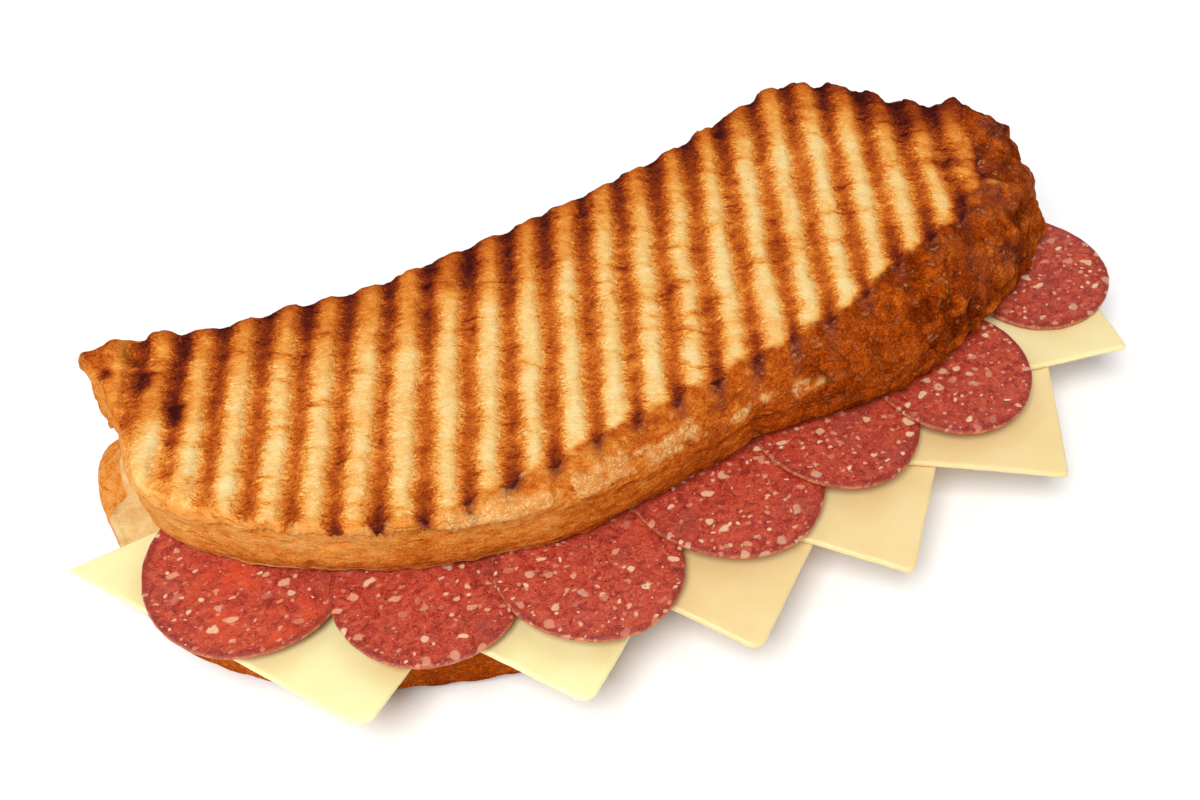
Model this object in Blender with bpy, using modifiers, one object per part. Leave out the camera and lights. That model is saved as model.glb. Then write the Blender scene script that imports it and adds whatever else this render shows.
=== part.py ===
"""Mixed toasted sandwich: two slices of rib-grilled bread round six slices of cheese and seven of salami.

The sandwich lies along X, with the side where the filling fans out towards -Y. It rests at z = 0 on the
ridges that the grill left on its lower slice. Plan points are (x, y). Lengths are metres.
"""

import math

import bmesh
import bpy
import numpy as np

MM = 0.001
GAP = 0.3 * MM
CLEAR = 1 * MM
WELD = 0.01 * MM

# Heights above the table
CUT_HEIGHT = 17 * MM
TOP_HEIGHT = 51 * MM

# Marks of the grill: ribs pressed into both outer faces, in one direction
RIB_PITCH = 9.88 * MM
RIB_ANGLE = math.radians(61.8)
RIB_ALONG = np.array([math.cos(RIB_ANGLE), math.sin(RIB_ANGLE)])
RIB_ACROSS = np.array([math.sin(RIB_ANGLE), -math.cos(RIB_ANGLE)])
UPPER_RIB_START = -0.84 * MM
LOWER_RIB_START = 0.5 * RIB_PITCH
UPPER_RIB_DEPTH = 1.9 * MM
LOWER_RIB_DEPTH = 1.4 * MM
RIDGE_CROWN = 0.3 * MM
RIB_FADE = 7 * MM

# The slices seen from above, from the left tip along the back, round the right end and back along
# the front. The lower one reaches further to the left and the front.
UPPER_OUTLINE = np.array([
    (-123, 54), (-116.5, 55.8), (-108, 54), (-91.5, 48.2), (-70, 44.2), (-50, 40.6), (-30, 40.8), (0, 41.6),
    (33, 44.4), (60, 49.2), (79, 52.6), (90, 48), (99, 40.8), (106, 31.5), (114.5, 23.8), (121.5, 16),
    (126.5, 4), (128, -6), (126, -17), (100, -31.5), (70, -42), (48, -44.8), (15, -40.8), (-30, -42.6),
    (-60, -38), (-90, -25), (-114, -6), (-125, 12), (-121.5, 34), (-122.5, 48),
]) * MM
LOWER_OUTLINE = np.array([
    (-121, 58), (-108, 56.5), (-88, 50), (-50, 40.5), (0, 40.5), (35, 43.5), (58, 47), (78, 49),
    (96, 40), (107, 29), (117, 16), (122, 0), (118, -16), (100, -32), (70, -44.5), (40, -52),
    (5, -56), (-35, -56), (-62, -52.5), (-90, -41), (-110, -28), (-126, -10), (-133, 10), (-131.5, 28),
    (-131, 42), (-128, 52),
]) * MM

# Rounding of the crust between the grilled face and the widest outline, at places along X
SHOULDER_X = np.array([-130, -75, -40, -10, 30, 60, 90, 108, 125]) * MM
SHOULDER_WIDTH = np.array([2.5, 2.5, 7, 11, 13, 17, 20, 17, 13]) * MM
BACK_SHOULDER = 3.5 * MM
FRONT_BLEND = 12 * MM
END_FROM_X = 118 * MM
END_TO_X = 135 * MM
LOWER_SHOULDER = 6 * MM
SHOULDER_BASE = 2.5 * MM
SHOULDER_RISE = 0.8
SHOULDER_MOST = 15 * MM
CREASE = 0.9 * MM
# Heights of the crease and of the widest line of the crust, as parts of the way up from the cut face
CREASE_HEIGHT = 0.85
CRUST_HEIGHT = 0.62
# The cut face lies this far inside the widest line, but never more than this part of the section's length
CUT_TUCK = 1.5 * MM
MOST_TUCK = 0.3
BULGE_TUCK = 7 * MM
BULGE_FROM_Y = 33 * MM
BULGE_BLEND = 4 * MM
BULGE_FROM_X = -95 * MM
BULGE_TO_X = -110 * MM

# The lower cut face leans with the filling between these places, and falls away at the left end
LEAN_FROM_X = -100 * MM
LEAN_TO_X = -35 * MM
TIP_FALL = 4.5 * MM
TIP_LENGTH = 25 * MM

# The upper slice rests on the filling and sags beside each slice of it
REST_GAP = 0.8 * MM
REST_SAG = 0.16

# Steps of the mesh: between two points of an outline, across one rib as parts of the pitch, and
# round a section
OUTLINE_STEPS = 12
UPPER_RIB_STEPS = (-0.34, -0.12, 0.12, 0.34, 0.5)
LOWER_RIB_STEPS = (-0.36, -0.12, 0.12, 0.36)
GROOVE_FLOOR = 0.06
GROOVE_EDGE = 0.36
END_STEPS = np.array([0.3, 1.2, 3.0]) * MM
FACE_STEPS = np.array([0, 0.01, 0.035, 0.08, 0.2, 0.4, 0.6, 0.76, 0.87, 0.945, 0.985, 1])
LOWER_FACE_STEPS = np.array([0, 0.015, 0.06, 0.25, 0.5, 0.75, 0.94, 0.985, 1])
CUT_STEPS = np.linspace(0, 1, 8)
LOWER_CUT_STEPS = np.linspace(0, 1, 4)

# Filling: each slice leans on the one to its left, so all of them slope down towards +X alike
LEAN = 0.055
CHEESE_SIDE = 86 * MM
CHEESE_THICK = 1.8 * MM
CHEESE_CORNER = 1.5 * MM
CHEESE_GRID = np.array([-1, -0.88, -0.6, -0.2, 0.2, 0.6, 0.88, 1])
CORNER_STEP = 0.499
# Centre x, y and turn in degrees of each slice, from the left
CHEESE_PLACES = (
    (-87.5, 1.4, 30.0), (-43.5, -17.7, 32.0), (-3.4, -25.2, 33.0),
    (30.2, -25.0, 42.7), (66.5, -23.0, 57.2), (88.3, -6.9, 77.3),
)
# The first slice is trimmed on its left: its tip and the direction of the trimmed edge
TRIM_TIP = np.array([-146.0, 15.1]) * MM
TRIM_TURN = math.radians(2)

SALAMI_THICK = 1.4 * MM
SALAMI_SIDES = 28
SALAMI_RINGS = 2
SALAMI_RING_POWER = 0.8
SALAMI_WAVE = 0.012
SALAMI_LOBES = 3
# Centre x, y and diameter of each slice, from the left
SALAMI_PLACES = (
    (-109.3, -7.8, 48.8), (-75.3, -33.5, 45.0), (-39.1, -46.7, 45.3), (2.0, -42.0, 50.0),
    (35.0, -42.0, 43.4), (70.6, -43.4, 43.0), (115.2, -24.4, 44.0),
)

# What overhangs the lower slice droops: the line where it starts, and how it grows
DROOP_FROM_Y = -52 * MM
DROOP_GROWTH = 2.2

CRUST = (0.46, 0.20, 0.06)
LOWER_CRUST = (0.33, 0.13, 0.045)
CHEESE_COLOURS = ((0.93, 0.83, 0.42), (0.91, 0.80, 0.45))
SALAMI_COLOURS = ((0.52, 0.10, 0.07), (0.42, 0.07, 0.06))


def make_material(name, colour, roughness):
    material = bpy.data.materials.new(name)
    material.use_nodes = True
    shader = material.node_tree.nodes["Principled BSDF"]
    shader.inputs["Base Color"].default_value = (*colour, 1)
    shader.inputs["Roughness"].default_value = roughness
    shader.inputs["Metallic"].default_value = 0
    return material


def closed_curve(points, steps):
    """Catmull-Rom curve through the points and back to the first, in this many steps from point to point."""
    before = np.roll(points, 1, 0)
    after = np.roll(points, -1, 0)
    beyond = np.roll(points, -2, 0)
    t = (np.arange(steps) / steps)[None, :, None]
    linear = (after - before)[:, None] * t
    square = (2 * before - 5 * points + 4 * after - beyond)[:, None] * t**2
    cube = (3 * points - before - 3 * after + beyond)[:, None] * t**3
    return (points[:, None] + 0.5 * (linear + square + cube)).reshape(-1, 2)


def edge_distance(places, curve):
    """Distance from each place to the nearest point of the curve."""
    apart = places[..., None, :] - curve
    return np.sqrt((apart**2).sum(-1).min(-1))


def step_between(value, low, high):
    """0 below low, 1 above high, and smooth between them."""
    t = np.clip((value - low) / (high - low), 0, 1)
    return t * t * (3 - 2 * t)


def groove(across, start):
    """1 on the floor of a groove that a rib of the grill pressed, 0 on the ridge between two."""
    phase = np.abs((across - start) / RIB_PITCH % 1)
    phase = np.minimum(phase, 1 - phase)
    return 1 - step_between(phase, GROOVE_FLOOR, GROOVE_EDGE), phase


def stations(curve, start, rib_steps):
    """Places across the ribs of the sections of a slice: some for each rib, and a few at the ends."""
    across = curve @ RIB_ACROSS
    low, high = across.min(), across.max()
    first = math.floor((low - start) / RIB_PITCH) - 1
    last = math.ceil((high - start) / RIB_PITCH) + 1
    ribs = np.arange(first, last + 1)[:, None] + np.array(rib_steps)
    places = start + RIB_PITCH * ribs.ravel()
    inside = (places > low + END_STEPS[-1]) & (places < high - END_STEPS[-1])
    return np.sort(np.concatenate([low + END_STEPS, places[inside], high - END_STEPS]))


def section_ends(curve, places):
    """Where each section line, along a rib, meets the back and the front of the outline."""
    across, along = curve @ RIB_ACROSS, curve @ RIB_ALONG
    first = across.argmin()
    across, along = np.roll(across, -first), np.roll(along, -first)
    turn = across.argmax()
    back = np.interp(places, across[:turn + 1], along[:turn + 1])
    front_across = np.append(across[turn:], across[0])[::-1]
    front_along = np.append(along[turn:], along[0])[::-1]
    return back, np.interp(places, front_across, front_along)


def plan(across, along):
    return across[..., None] * RIB_ACROSS + along[..., None] * RIB_ALONG


def loft(name, rings, material):
    """A closed body through rings of points, one ring a section, with both ends filled."""
    sections, around = rings.shape[:2]
    body = bmesh.new()
    bmesh.ops.create_grid(body, x_segments=sections - 1, y_segments=around, size=0.5)
    for vert in body.verts:
        section = round((vert.co.x + 0.5) * (sections - 1))
        turn = round((vert.co.y + 0.5) * around) % around
        vert.co = rings[section, turn]
    bmesh.ops.remove_doubles(body, verts=body.verts, dist=WELD)
    bmesh.ops.holes_fill(body, edges=body.edges)
    bmesh.ops.recalc_face_normals(body, faces=body.faces)
    return finish_mesh(name, body, material)


def finish_mesh(name, body, material):
    mesh = bpy.data.meshes.new(name)
    body.to_mesh(mesh)
    body.free()
    mesh.materials.append(material)
    mesh.shade_smooth()
    mesh.set_sharp_from_angle(angle=math.radians(50))
    part = bpy.data.objects.new(name, mesh)
    sandwich.objects.link(part)
    return part


def slice_sections(curve, places, face_steps, cut_steps, face_height, cut_height, shoulder, tuck):
    """Rings of a bread slice: over its grilled face, down the crust and back along the cut face."""
    back, front = section_ends(curve, places)
    across = places[:, None] + 0 * face_steps
    along = back[:, None] + (front - back)[:, None] * face_steps
    face = plan(across, along)
    width, height = shoulder(face)
    rounding = np.clip(1 - edge_distance(face, curve) / width, 0, 1)
    rise = face_height(face, across, height * (1 - np.sqrt(1 - rounding**2)))
    face_ring = np.concatenate([face, rise[..., None]], -1)

    reach = MOST_TUCK * np.abs(back - front)
    cut_back = back - np.minimum(tuck(plan(places, back)), reach)
    cut_front = front + np.minimum(tuck(plan(places, front)), reach)
    across = places[:, None] + 0 * cut_steps
    cut = plan(across, cut_front[:, None] + (cut_back - cut_front)[:, None] * cut_steps)
    cut_ring = np.concatenate([cut, cut_height(cut)[..., None]], -1)

    crease = cut_ring[:, :1] + (face_ring[:, -1:] - cut_ring[:, :1]) * CREASE_HEIGHT
    crease[..., :2] += np.minimum(CREASE, MOST_TUCK * reach)[:, None, None] * RIB_ALONG
    crust = cut_ring[:, :1] + (face_ring[:, -1:] - cut_ring[:, :1]) * CRUST_HEIGHT
    return np.concatenate([face_ring, crease, crust, cut_ring], 1)


def upper_shoulder(places):
    """Width and height of the upper slice's rounding: narrow at the left and back, broad elsewhere."""
    x, y = places[..., 0], places[..., 1]
    front = np.interp(x, SHOULDER_X, SHOULDER_WIDTH)
    back = np.minimum(BACK_SHOULDER, front + BACK_SHOULDER / 2)
    back = back + (front - back) * step_between(x, END_FROM_X, END_TO_X)
    width = back + (front - back) * step_between(-y, 0, FRONT_BLEND)
    return width, np.minimum(SHOULDER_BASE + SHOULDER_RISE * width, SHOULDER_MOST)


def upper_face(places, across, fall):
    """The grilled face: grooves under a level top, which fade where the crust rounds away."""
    pressed, phase = groove(across, UPPER_RIB_START)
    relief = UPPER_RIB_DEPTH * pressed - RIDGE_CROWN * step_between(phase, GROOVE_EDGE, 0.5)
    return TOP_HEIGHT - fall - relief * (1 - step_between(fall, 0, RIB_FADE))


def upper_cut(places):
    """The cut face lies on the filling: level with the top of each slice over it, and lower further away."""
    x, y = places[..., 0], places[..., 1]
    rests = [
        level - REST_SAG * beside_square(x, y, place)
        for level, place in zip(cheese_levels, CHEESE_PLACES)
    ]
    rests += [
        level - REST_SAG * beside_round(x, y, place)
        for level, place in zip(salami_levels, SALAMI_PLACES)
    ]
    return np.max(rests, axis=0) - LEAN * x + REST_GAP


def lower_shoulder(places):
    width = np.full(places.shape[:-1], LOWER_SHOULDER)
    return width, width


def lower_face(places, across, fall):
    """The grilled underside: the ridges are level at z = 0, so the sandwich stands on them."""
    pressed, _ = groove(across, LOWER_RIB_START)
    return fall + LOWER_RIB_DEPTH * pressed * (1 - step_between(fall, 0, RIB_FADE))


def lower_cut(places):
    """The cut face carries the filling: it leans as the filling does, and falls away at the left end."""
    x = places[..., 0]
    leaning = CUT_HEIGHT + LEAN * np.clip(LEAN_TO_X - x, 0, LEAN_TO_X - LEAN_FROM_X)
    return leaning - TIP_FALL * step_between(LEAN_FROM_X - x, 0, TIP_LENGTH)


def upper_tuck(places):
    return np.full(places.shape[:-1], CUT_TUCK)


def lower_tuck(places):
    """Behind the cheese at the left end the crust bulges out beyond the cut face."""
    bulge = step_between(places[..., 1], BULGE_FROM_Y, BULGE_FROM_Y + BULGE_BLEND)
    bulge = bulge * step_between(places[..., 0], BULGE_FROM_X, BULGE_TO_X)
    return CUT_TUCK + (BULGE_TUCK - CUT_TUCK) * bulge


def make_bread():
    curve = closed_curve(UPPER_OUTLINE, OUTLINE_STEPS)
    places = stations(curve, UPPER_RIB_START, UPPER_RIB_STEPS)
    rings = slice_sections(
        curve, places, FACE_STEPS, CUT_STEPS, upper_face, upper_cut, upper_shoulder, upper_tuck
    )
    loft("bread_top", rings, make_material("grilled_bread", CRUST, 0.6))

    curve = closed_curve(LOWER_OUTLINE, OUTLINE_STEPS)
    places = stations(curve, LOWER_RIB_START, LOWER_RIB_STEPS)
    rings = slice_sections(
        curve, places, LOWER_FACE_STEPS, LOWER_CUT_STEPS, lower_face, lower_cut, lower_shoulder, lower_tuck
    )
    loft("bread_bottom", rings, make_material("lower_bread", LOWER_CRUST, 0.65))


def droop(y):
    """How far a soft slice has sunk where it hangs over the front of the lower bread."""
    over = max(DROOP_FROM_Y - y, 0)
    return DROOP_GROWTH * over**2


def soft_slice(name, body, level, thick, material):
    """Lays a flat sheet in the filling: its top at the level, leaning and drooping, its thickness below."""
    bmesh.ops.remove_doubles(body, verts=body.verts, dist=WELD)
    for vert in body.verts:
        vert.co.z = level - LEAN * vert.co.x - droop(vert.co.y)
    bmesh.ops.recalc_face_normals(body, faces=body.faces)
    if sum(face.normal.z for face in body.faces) < 0:
        bmesh.ops.reverse_faces(body, faces=body.faces)
    part = finish_mesh(name, body, material)
    solidify = part.modifiers.new("Thickness", "SOLIDIFY")
    solidify.thickness = thick
    solidify.offset = -1
    return part


def place_flat(body, places):
    for vert, place in zip(body.verts, places):
        vert.co = (*place, 0)


def trim(body):
    """Cuts off what lies behind the trimmed edge of the first cheese slice."""
    bmesh.ops.bisect_plane(
        body,
        geom=[*body.verts, *body.edges, *body.faces],
        plane_co=(*TRIM_TIP, 0),
        plane_no=(-math.sin(TRIM_TURN), math.cos(TRIM_TURN), 0),
        clear_outer=True,
    )


def cheese_slice(number, place, level):
    x, y, turn = place[0] * MM, place[1] * MM, math.radians(place[2])
    body = bmesh.new()
    cells = len(CHEESE_GRID) - 1
    bmesh.ops.create_grid(body, x_segments=cells, y_segments=cells, size=0.5)
    steps = np.array([(vert.co.x, vert.co.y) for vert in body.verts])
    flat = CHEESE_GRID[np.rint((steps + 0.5) * cells).astype(int)] * CHEESE_SIDE / 2
    corner = (np.abs(steps) > CORNER_STEP).all(1)
    flat[corner] -= np.sign(flat[corner]) * CHEESE_CORNER
    cos, sin = math.cos(turn), math.sin(turn)
    places = flat @ np.array([(cos, sin), (-sin, cos)]) + (x, y)
    place_flat(body, places)
    if number == 1:
        trim(body)
    material = make_material(f"cheese_{number}", CHEESE_COLOURS[number > 2], 0.35)
    soft_slice(f"cheese_{number}", body, level, CHEESE_THICK, material)


def salami_slice(number, place, level):
    """A round slice, slightly out of round, as a grid rolled about its centre."""
    x, y, radius = place[0] * MM, place[1] * MM, place[2] * MM / 2
    body = bmesh.new()
    bmesh.ops.create_grid(body, x_segments=SALAMI_SIDES, y_segments=SALAMI_RINGS, size=0.5)
    steps = np.array([(vert.co.x, vert.co.y) for vert in body.verts]) + 0.5
    angle = 2 * math.pi * steps[:, 0]
    out_of_round = 1 + SALAMI_WAVE * np.cos(SALAMI_LOBES * angle + number)
    reach = radius * steps[:, 1] ** SALAMI_RING_POWER * out_of_round
    places = np.column_stack([x + reach * np.cos(angle), y + reach * np.sin(angle)])
    place_flat(body, places)
    material = make_material(f"salami_{number}", SALAMI_COLOURS[number > 1], 0.45)
    soft_slice(f"salami_{number}", body, level, SALAMI_THICK, material)


def beside_square(x, y, place):
    """How far points lie outside a square slice."""
    turn = math.radians(place[2])
    dx, dy = x - place[0] * MM, y - place[1] * MM
    u = np.abs(dx * math.cos(turn) + dy * math.sin(turn)) - CHEESE_SIDE / 2
    v = np.abs(dy * math.cos(turn) - dx * math.sin(turn)) - CHEESE_SIDE / 2
    return np.hypot(np.maximum(u, 0), np.maximum(v, 0))


def beside_round(x, y, place):
    """How far points lie outside a round slice."""
    return np.maximum(np.hypot(x - place[0] * MM, y - place[1] * MM) - place[2] * MM / 2, 0)


def stack_levels():
    """Levels of the tops at x = 0, from the lowest up: a slice clears the bread and each slice it lies on.

    The slices all lean alike, so two that differ by a thickness and a gap at x = 0 do so everywhere.
    """
    cheese_reach = CHEESE_SIDE / math.sqrt(2)
    cheeses, salamis = [], []
    for x, _, _ in CHEESE_PLACES:
        on_bread = CUT_HEIGHT + LEAN * min(x * MM + cheese_reach, UPPER_OUTLINE[:, 0].max())
        cheeses.append(max([on_bread] + cheeses[-1:]) + GAP + CHEESE_THICK)
    for index, (x, y, size) in enumerate(SALAMI_PLACES):
        reach = size * MM / 2 + CLEAR
        beneath = [
            level for level, place in zip(cheeses, CHEESE_PLACES)
            if beside_square(x * MM, y * MM, place) < reach
        ]
        if index and beside_round(x * MM, y * MM, SALAMI_PLACES[index - 1]) < reach:
            beneath.append(salamis[-1])
        salamis.append(max(beneath) + GAP + SALAMI_THICK)
    return cheeses, salamis


for left_over in list(bpy.data.objects):
    bpy.data.objects.remove(left_over)
sandwich = bpy.data.collections.new("mixed toasted sandwich")
bpy.context.scene.collection.children.link(sandwich)

cheese_levels, salami_levels = stack_levels()
make_bread()
for index, spot in enumerate(CHEESE_PLACES):
    cheese_slice(index + 1, spot, cheese_levels[index])
for index, spot in enumerate(SALAMI_PLACES):
    salami_slice(index + 1, spot, salami_levels[index])
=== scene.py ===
"""Mixed toasted sandwich, dressed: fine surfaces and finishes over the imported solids.

Both slices of bread, the cheese and the salami are worked out again as fine grids from the sizes of the
solids, and each stands for its solid. Lengths are metres in the row frame. The sandwich lies along X, the
filling fans out towards -Y, and the grilled faces lie in Z.
"""

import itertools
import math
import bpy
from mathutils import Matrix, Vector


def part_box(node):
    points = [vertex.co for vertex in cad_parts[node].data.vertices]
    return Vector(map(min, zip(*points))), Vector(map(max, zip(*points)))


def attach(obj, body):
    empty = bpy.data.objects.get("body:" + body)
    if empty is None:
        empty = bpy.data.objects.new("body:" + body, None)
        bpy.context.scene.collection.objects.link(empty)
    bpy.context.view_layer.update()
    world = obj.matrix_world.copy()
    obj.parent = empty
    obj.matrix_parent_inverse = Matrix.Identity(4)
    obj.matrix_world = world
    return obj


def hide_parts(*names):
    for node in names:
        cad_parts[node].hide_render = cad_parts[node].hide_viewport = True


bl_info = {
    "name": "Toasted Sandwich",
    "version": (1, 0, 0),
    "blender": (4, 5, 0),
    "location": "View3D > Sidebar > Sandwich",
    "description": "Dresses a packed sandwich with rib-grilled bread, cheese and salami",
    "category": "Add Mesh",
}

from types import SimpleNamespace

import bpy
import numpy as np
from bpy.props import FloatProperty, FloatVectorProperty, PointerProperty
from bpy.types import Operator, Panel, PropertyGroup

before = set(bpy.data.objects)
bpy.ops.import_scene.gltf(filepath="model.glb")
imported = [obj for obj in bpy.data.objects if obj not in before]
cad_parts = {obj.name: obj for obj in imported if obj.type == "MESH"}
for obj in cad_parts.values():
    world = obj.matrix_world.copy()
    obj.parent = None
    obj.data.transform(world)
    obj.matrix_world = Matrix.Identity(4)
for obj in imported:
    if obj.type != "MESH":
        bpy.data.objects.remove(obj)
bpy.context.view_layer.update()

MM = 0.001

# Light that a level surface sends back on the stage, for a white one
BRIGHTNESS = 1.15

# Camera of the photograph, in the row frame
CAMERA_PLACE = (-0.14625, -0.2295, 0.3381)
CAMERA_PITCH = math.radians(40)
CAMERA_HEADING = math.radians(-31)
CAMERA_LENS = 47.83
SENSOR_WIDTH = 36

# Grill marks
RIB_ANGLE = math.radians(61.8)
RIB_ACROSS = np.array([math.sin(RIB_ANGLE), -math.cos(RIB_ANGLE)])
RIB_PITCH = 9.88 * MM
UPPER_RIB_START = -0.84 * MM
LOWER_RIB_START = 0.5 * RIB_PITCH
LOWER_RIB_DEPTH = 1.4 * MM
RIB_FADE = 7 * MM
GROOVE_FLOOR = 0.06
GROOVE_EDGE = 0.36
MARK_SHIFT = 0.085 * RIB_PITCH

# Bread
TOP_HEIGHT = 51 * MM
CUT_HEIGHT = 17 * MM
UPPER_OUTLINE = np.array([
    (-123, 54), (-116.5, 55.8), (-108, 54), (-91.5, 48.2), (-70, 44.2), (-50, 40.6), (-30, 40.8), (0, 41.6),
    (33, 44.4), (60, 49.2), (79, 52.6), (90, 48), (99, 40.8), (106, 31.5), (114.5, 23.8), (121.5, 16),
    (126.5, 4), (128, -6), (126, -17), (100, -31.5), (70, -42), (48, -44.8), (15, -40.8), (-30, -42.6),
    (-60, -38), (-90, -25), (-114, -6), (-125, 12), (-121.5, 34), (-122.5, 48),
]) * MM
LOWER_OUTLINE = np.array([
    (-121, 58), (-108, 56.5), (-88, 50), (-50, 40.5), (0, 40.5), (35, 43.5), (58, 47), (78, 49),
    (96, 40), (107, 29), (117, 16), (122, 0), (118, -16), (100, -32), (70, -44.5), (40, -52),
    (5, -56), (-35, -56), (-62, -52.5), (-90, -41), (-110, -28), (-126, -10), (-133, 10), (-131.5, 28),
    (-131, 42), (-128, 52),
]) * MM
SPINE_FROM = -96 * MM
SPINE_TO = 92 * MM
SHOULDER_X = np.array([-130, -75, -40, -10, 30, 60, 90, 108, 125]) * MM
SHOULDER_WIDTH = np.array([1.5, 1.7, 6, 11, 13, 17, 20, 17, 13]) * MM
BACK_SHOULDER = 3.5 * MM
FRONT_BLEND = 12 * MM
END_FROM_X = 118 * MM
END_TO_X = 135 * MM
END_INWARD = np.array([-0.86, 0.51])
END_DRAW = 6 * MM
LOWER_SHOULDER = 6 * MM
SHOULDER_BASE = 2.5 * MM
SHOULDER_RISE = 0.8
SHOULDER_MOST = 15 * MM
CREASE = 0.4 * MM
CUT_TUCK = 1.5 * MM
BULGE_TUCK = 7 * MM
REST_GAP = 0.8 * MM
EDGE_LIFT = 0.7 * MM
REST_SAG = 0.16
LEAN_FROM_X = -100 * MM
LEAN_TO_X = -35 * MM
TIP_FALL = 4.5 * MM
TIP_LENGTH = 25 * MM

# Where the grilled crumb gives way to crust: y of that edge along the front, and a border elsewhere
FACE_EDGE_X = np.array([
    -130, -100, -88, -66, -55, -41, -26, -12, 2, 18, 34, 51, 69, 85, 97, 105, 111, 115,
]) * MM
FACE_EDGE_Y = np.array([
    -40, -40, -34, -33.5, -33.5, -33, -32, -31.5, -31.5, -31, -30, -27, -21, -17.5, -14, -7, 2, 12,
]) * MM
FACE_EDGE_SLOPE = 0.93
FACE_BORDER = 0.8 * MM
LEFT_BORDER = 0.3 * MM
LEDGE = 0.9 * MM
CORNER_CURL = 1.6 * MM

# Along X: where the right end starts and is whole, where the back's browning starts, how far in from the rim
# it reaches, and how dark the crust is, from 0 to 1
RIGHT_FROM_TO = (70 * MM, 100 * MM)
BACK_X = np.array([-125, -90, -50, 0, 100]) * MM
BACK_Y = np.array([22, 12, 3, 2, 8]) * MM
RIM_X = np.array([-30, 60]) * MM
RIM_REACH = np.array([32, 28]) * MM
CRUST_X = np.array([-125, -100, -60, -10, 45, 80]) * MM
CRUST_DARKNESS = (0.04, 0.10, 0.20, 0.43, 0.72, 0.76)
CREASE_SPACING = 4.2 * MM
PLATE_SIZE = 4.6 * MM

# Pale, crackled lip along the front, just under the grilled face: its height above the floor at each x
LIP_X = np.array([-78, -60, -42, -22, -5, 15]) * MM
LIP_Z = np.array([50.0, 49.0, 48.2, 47.4, 46.2, 44.8]) * MM

# Spots in millimetres: place, size along each axis, and how much browner the crumb is there or how far it
# stands out
BROWN_SPOTS = (
    (-122.5, 53.5, 51, 1.8, 2.0, 6, 0.40), (-123, 50, 51, 1.2, 3.0, 6, 0.20),
    (-118.6, 44.5, 51, 1.4, 1.4, 6, 0.28), (-112, 38, 51, 3.0, 3.0, 6, 0.16),
    (-120, 28, 51, 2.4, 3.0, 6, 0.12), (-117.5, 10, 51, 1.8, 3.0, 6, 0.20),
    (-108.4, 24, 51, 2.4, 8.0, 6, 0.10), (-115.5, 20.5, 51, 2.0, 2.6, 6, -0.16),
    (-111.5, 6, 51, 2.2, 3.4, 6, -0.15), (-106, -2, 51, 2.2, 3.4, 6, -0.13),
    (-109.8, 10, 51, 2.0, 3.0, 6, -0.12), (-114.5, 14, 51, 1.6, 2.6, 6, 0.14),
    (-100.4, 44, 51, 2.2, 4.0, 6, 0.20), (-104.3, 35.5, 51, 2.2, 4.0, 6, 0.20),
    (-109.5, 26, 51, 2.0, 4.0, 6, 0.26), (-113.6, 18.3, 51, 1.8, 3.0, 6, 0.32),
    (-111.6, 38, 51, 2.4, 2.4, 6, 0.22), (-119.3, 44.8, 51, 1.6, 1.6, 6, 0.22),
    (-96.5, -16, 50, 2.0, 3.0, 6, 0.14), (-32, 0.5, 51, 2.6, 1.0, 6, 0.26),
    (12, -1, 51, 5.0, 0.9, 6, 0.18), (15, -11, 51, 5.5, 1.0, 6, 0.20),
    (34, 12, 51, 4.5, 1.0, 6, 0.18), (71, -3.5, 51, 3.0, 0.8, 6, 0.16),
    (64, 1, 51, 4.0, 2.0, 6, 0.12), (-48, 22, 51, 6.0, 5.0, 6, 0.10),
    (98, 2, 51, 3.6, 3.0, 6, 0.16), (90, -9.8, 51, 2.4, 3.0, 6, -0.12),
    (101, -4, 51, 2.6, 3.0, 6, -0.18), (97, 9, 51, 2.0, 4.0, 6, -0.12),
    (110, -8, 50, 2.4, 6.0, 8, 0.16), (98.3, -15, 50, 2.4, 3.0, 8, 0.16),
    (-28, 32, 50, 10, 4.5, 8, 0.20),
)
BUMPS = (
    (12, -35, 43, 3.0, 5.0, 5.0, -1.2), (13, -41, 35, 2.6, 5.0, 7.0, -1.5),
    (7, -36, 43, 3.0, 3.0, 3.0, 0.7), (89, -35, 29, 2.5, 3.0, 2.2, -2.6),
    (-97, -19, 32, 0.9, 2.0, 6.0, -0.9), (-110, 48.5, 51, 2.6, 3.0, 4.0, -1.8),
    (-115, 51, 51, 2.6, 3.0, 4.0, 0.9), (-104, 48, 51, 3.0, 3.0, 5.0, 0.9),
    (117, 19.5, 49, 2.0, 2.4, 3.0, 1.6), (122, 4, 47, 2.2, 3.4, 3.0, 1.4),
    (113, 24, 49, 2.0, 2.0, 4.0, -0.8), (-32, 1.5, 51, 3.0, 0.9, 4.0, 0.5),
    (12, 0, 51, 5.0, 1.0, 4.0, 0.6), (15, -10, 51, 5.5, 1.0, 4.0, 0.6),
    (34, 12, 51, 4.5, 1.0, 4.0, 0.5), (-118.6, 44.5, 51, 2.0, 2.0, 4.0, -0.6),
    (8, 37, 50, 3.5, 2.0, 4.0, 0.9), (104, -8, 46, 4.0, 7.0, 6.0, 0.8),
    (70, -40, 40, 6.0, 5.0, 4.0, 0.9), (52, -43, 34, 5.0, 5.0, 5.0, 0.7),
    (105, -26, 36, 6.0, 5.0, 8.0, 0.8), (-117, 36, 51, 6.0, 1.0, 4.0, -0.5),
    (106, -3, 50, 3.0, 6.0, 4.0, -0.6), (71, -4, 51, 3.0, 0.8, 4.0, 0.4),
)

# Filling
LEAN = 0.055
DROOP_FROM_Y = -52 * MM
DROOP_GROWTH = 2.2
CHEESE_SIDE = 86 * MM
CHEESE_THICK = 1.8 * MM
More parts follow.
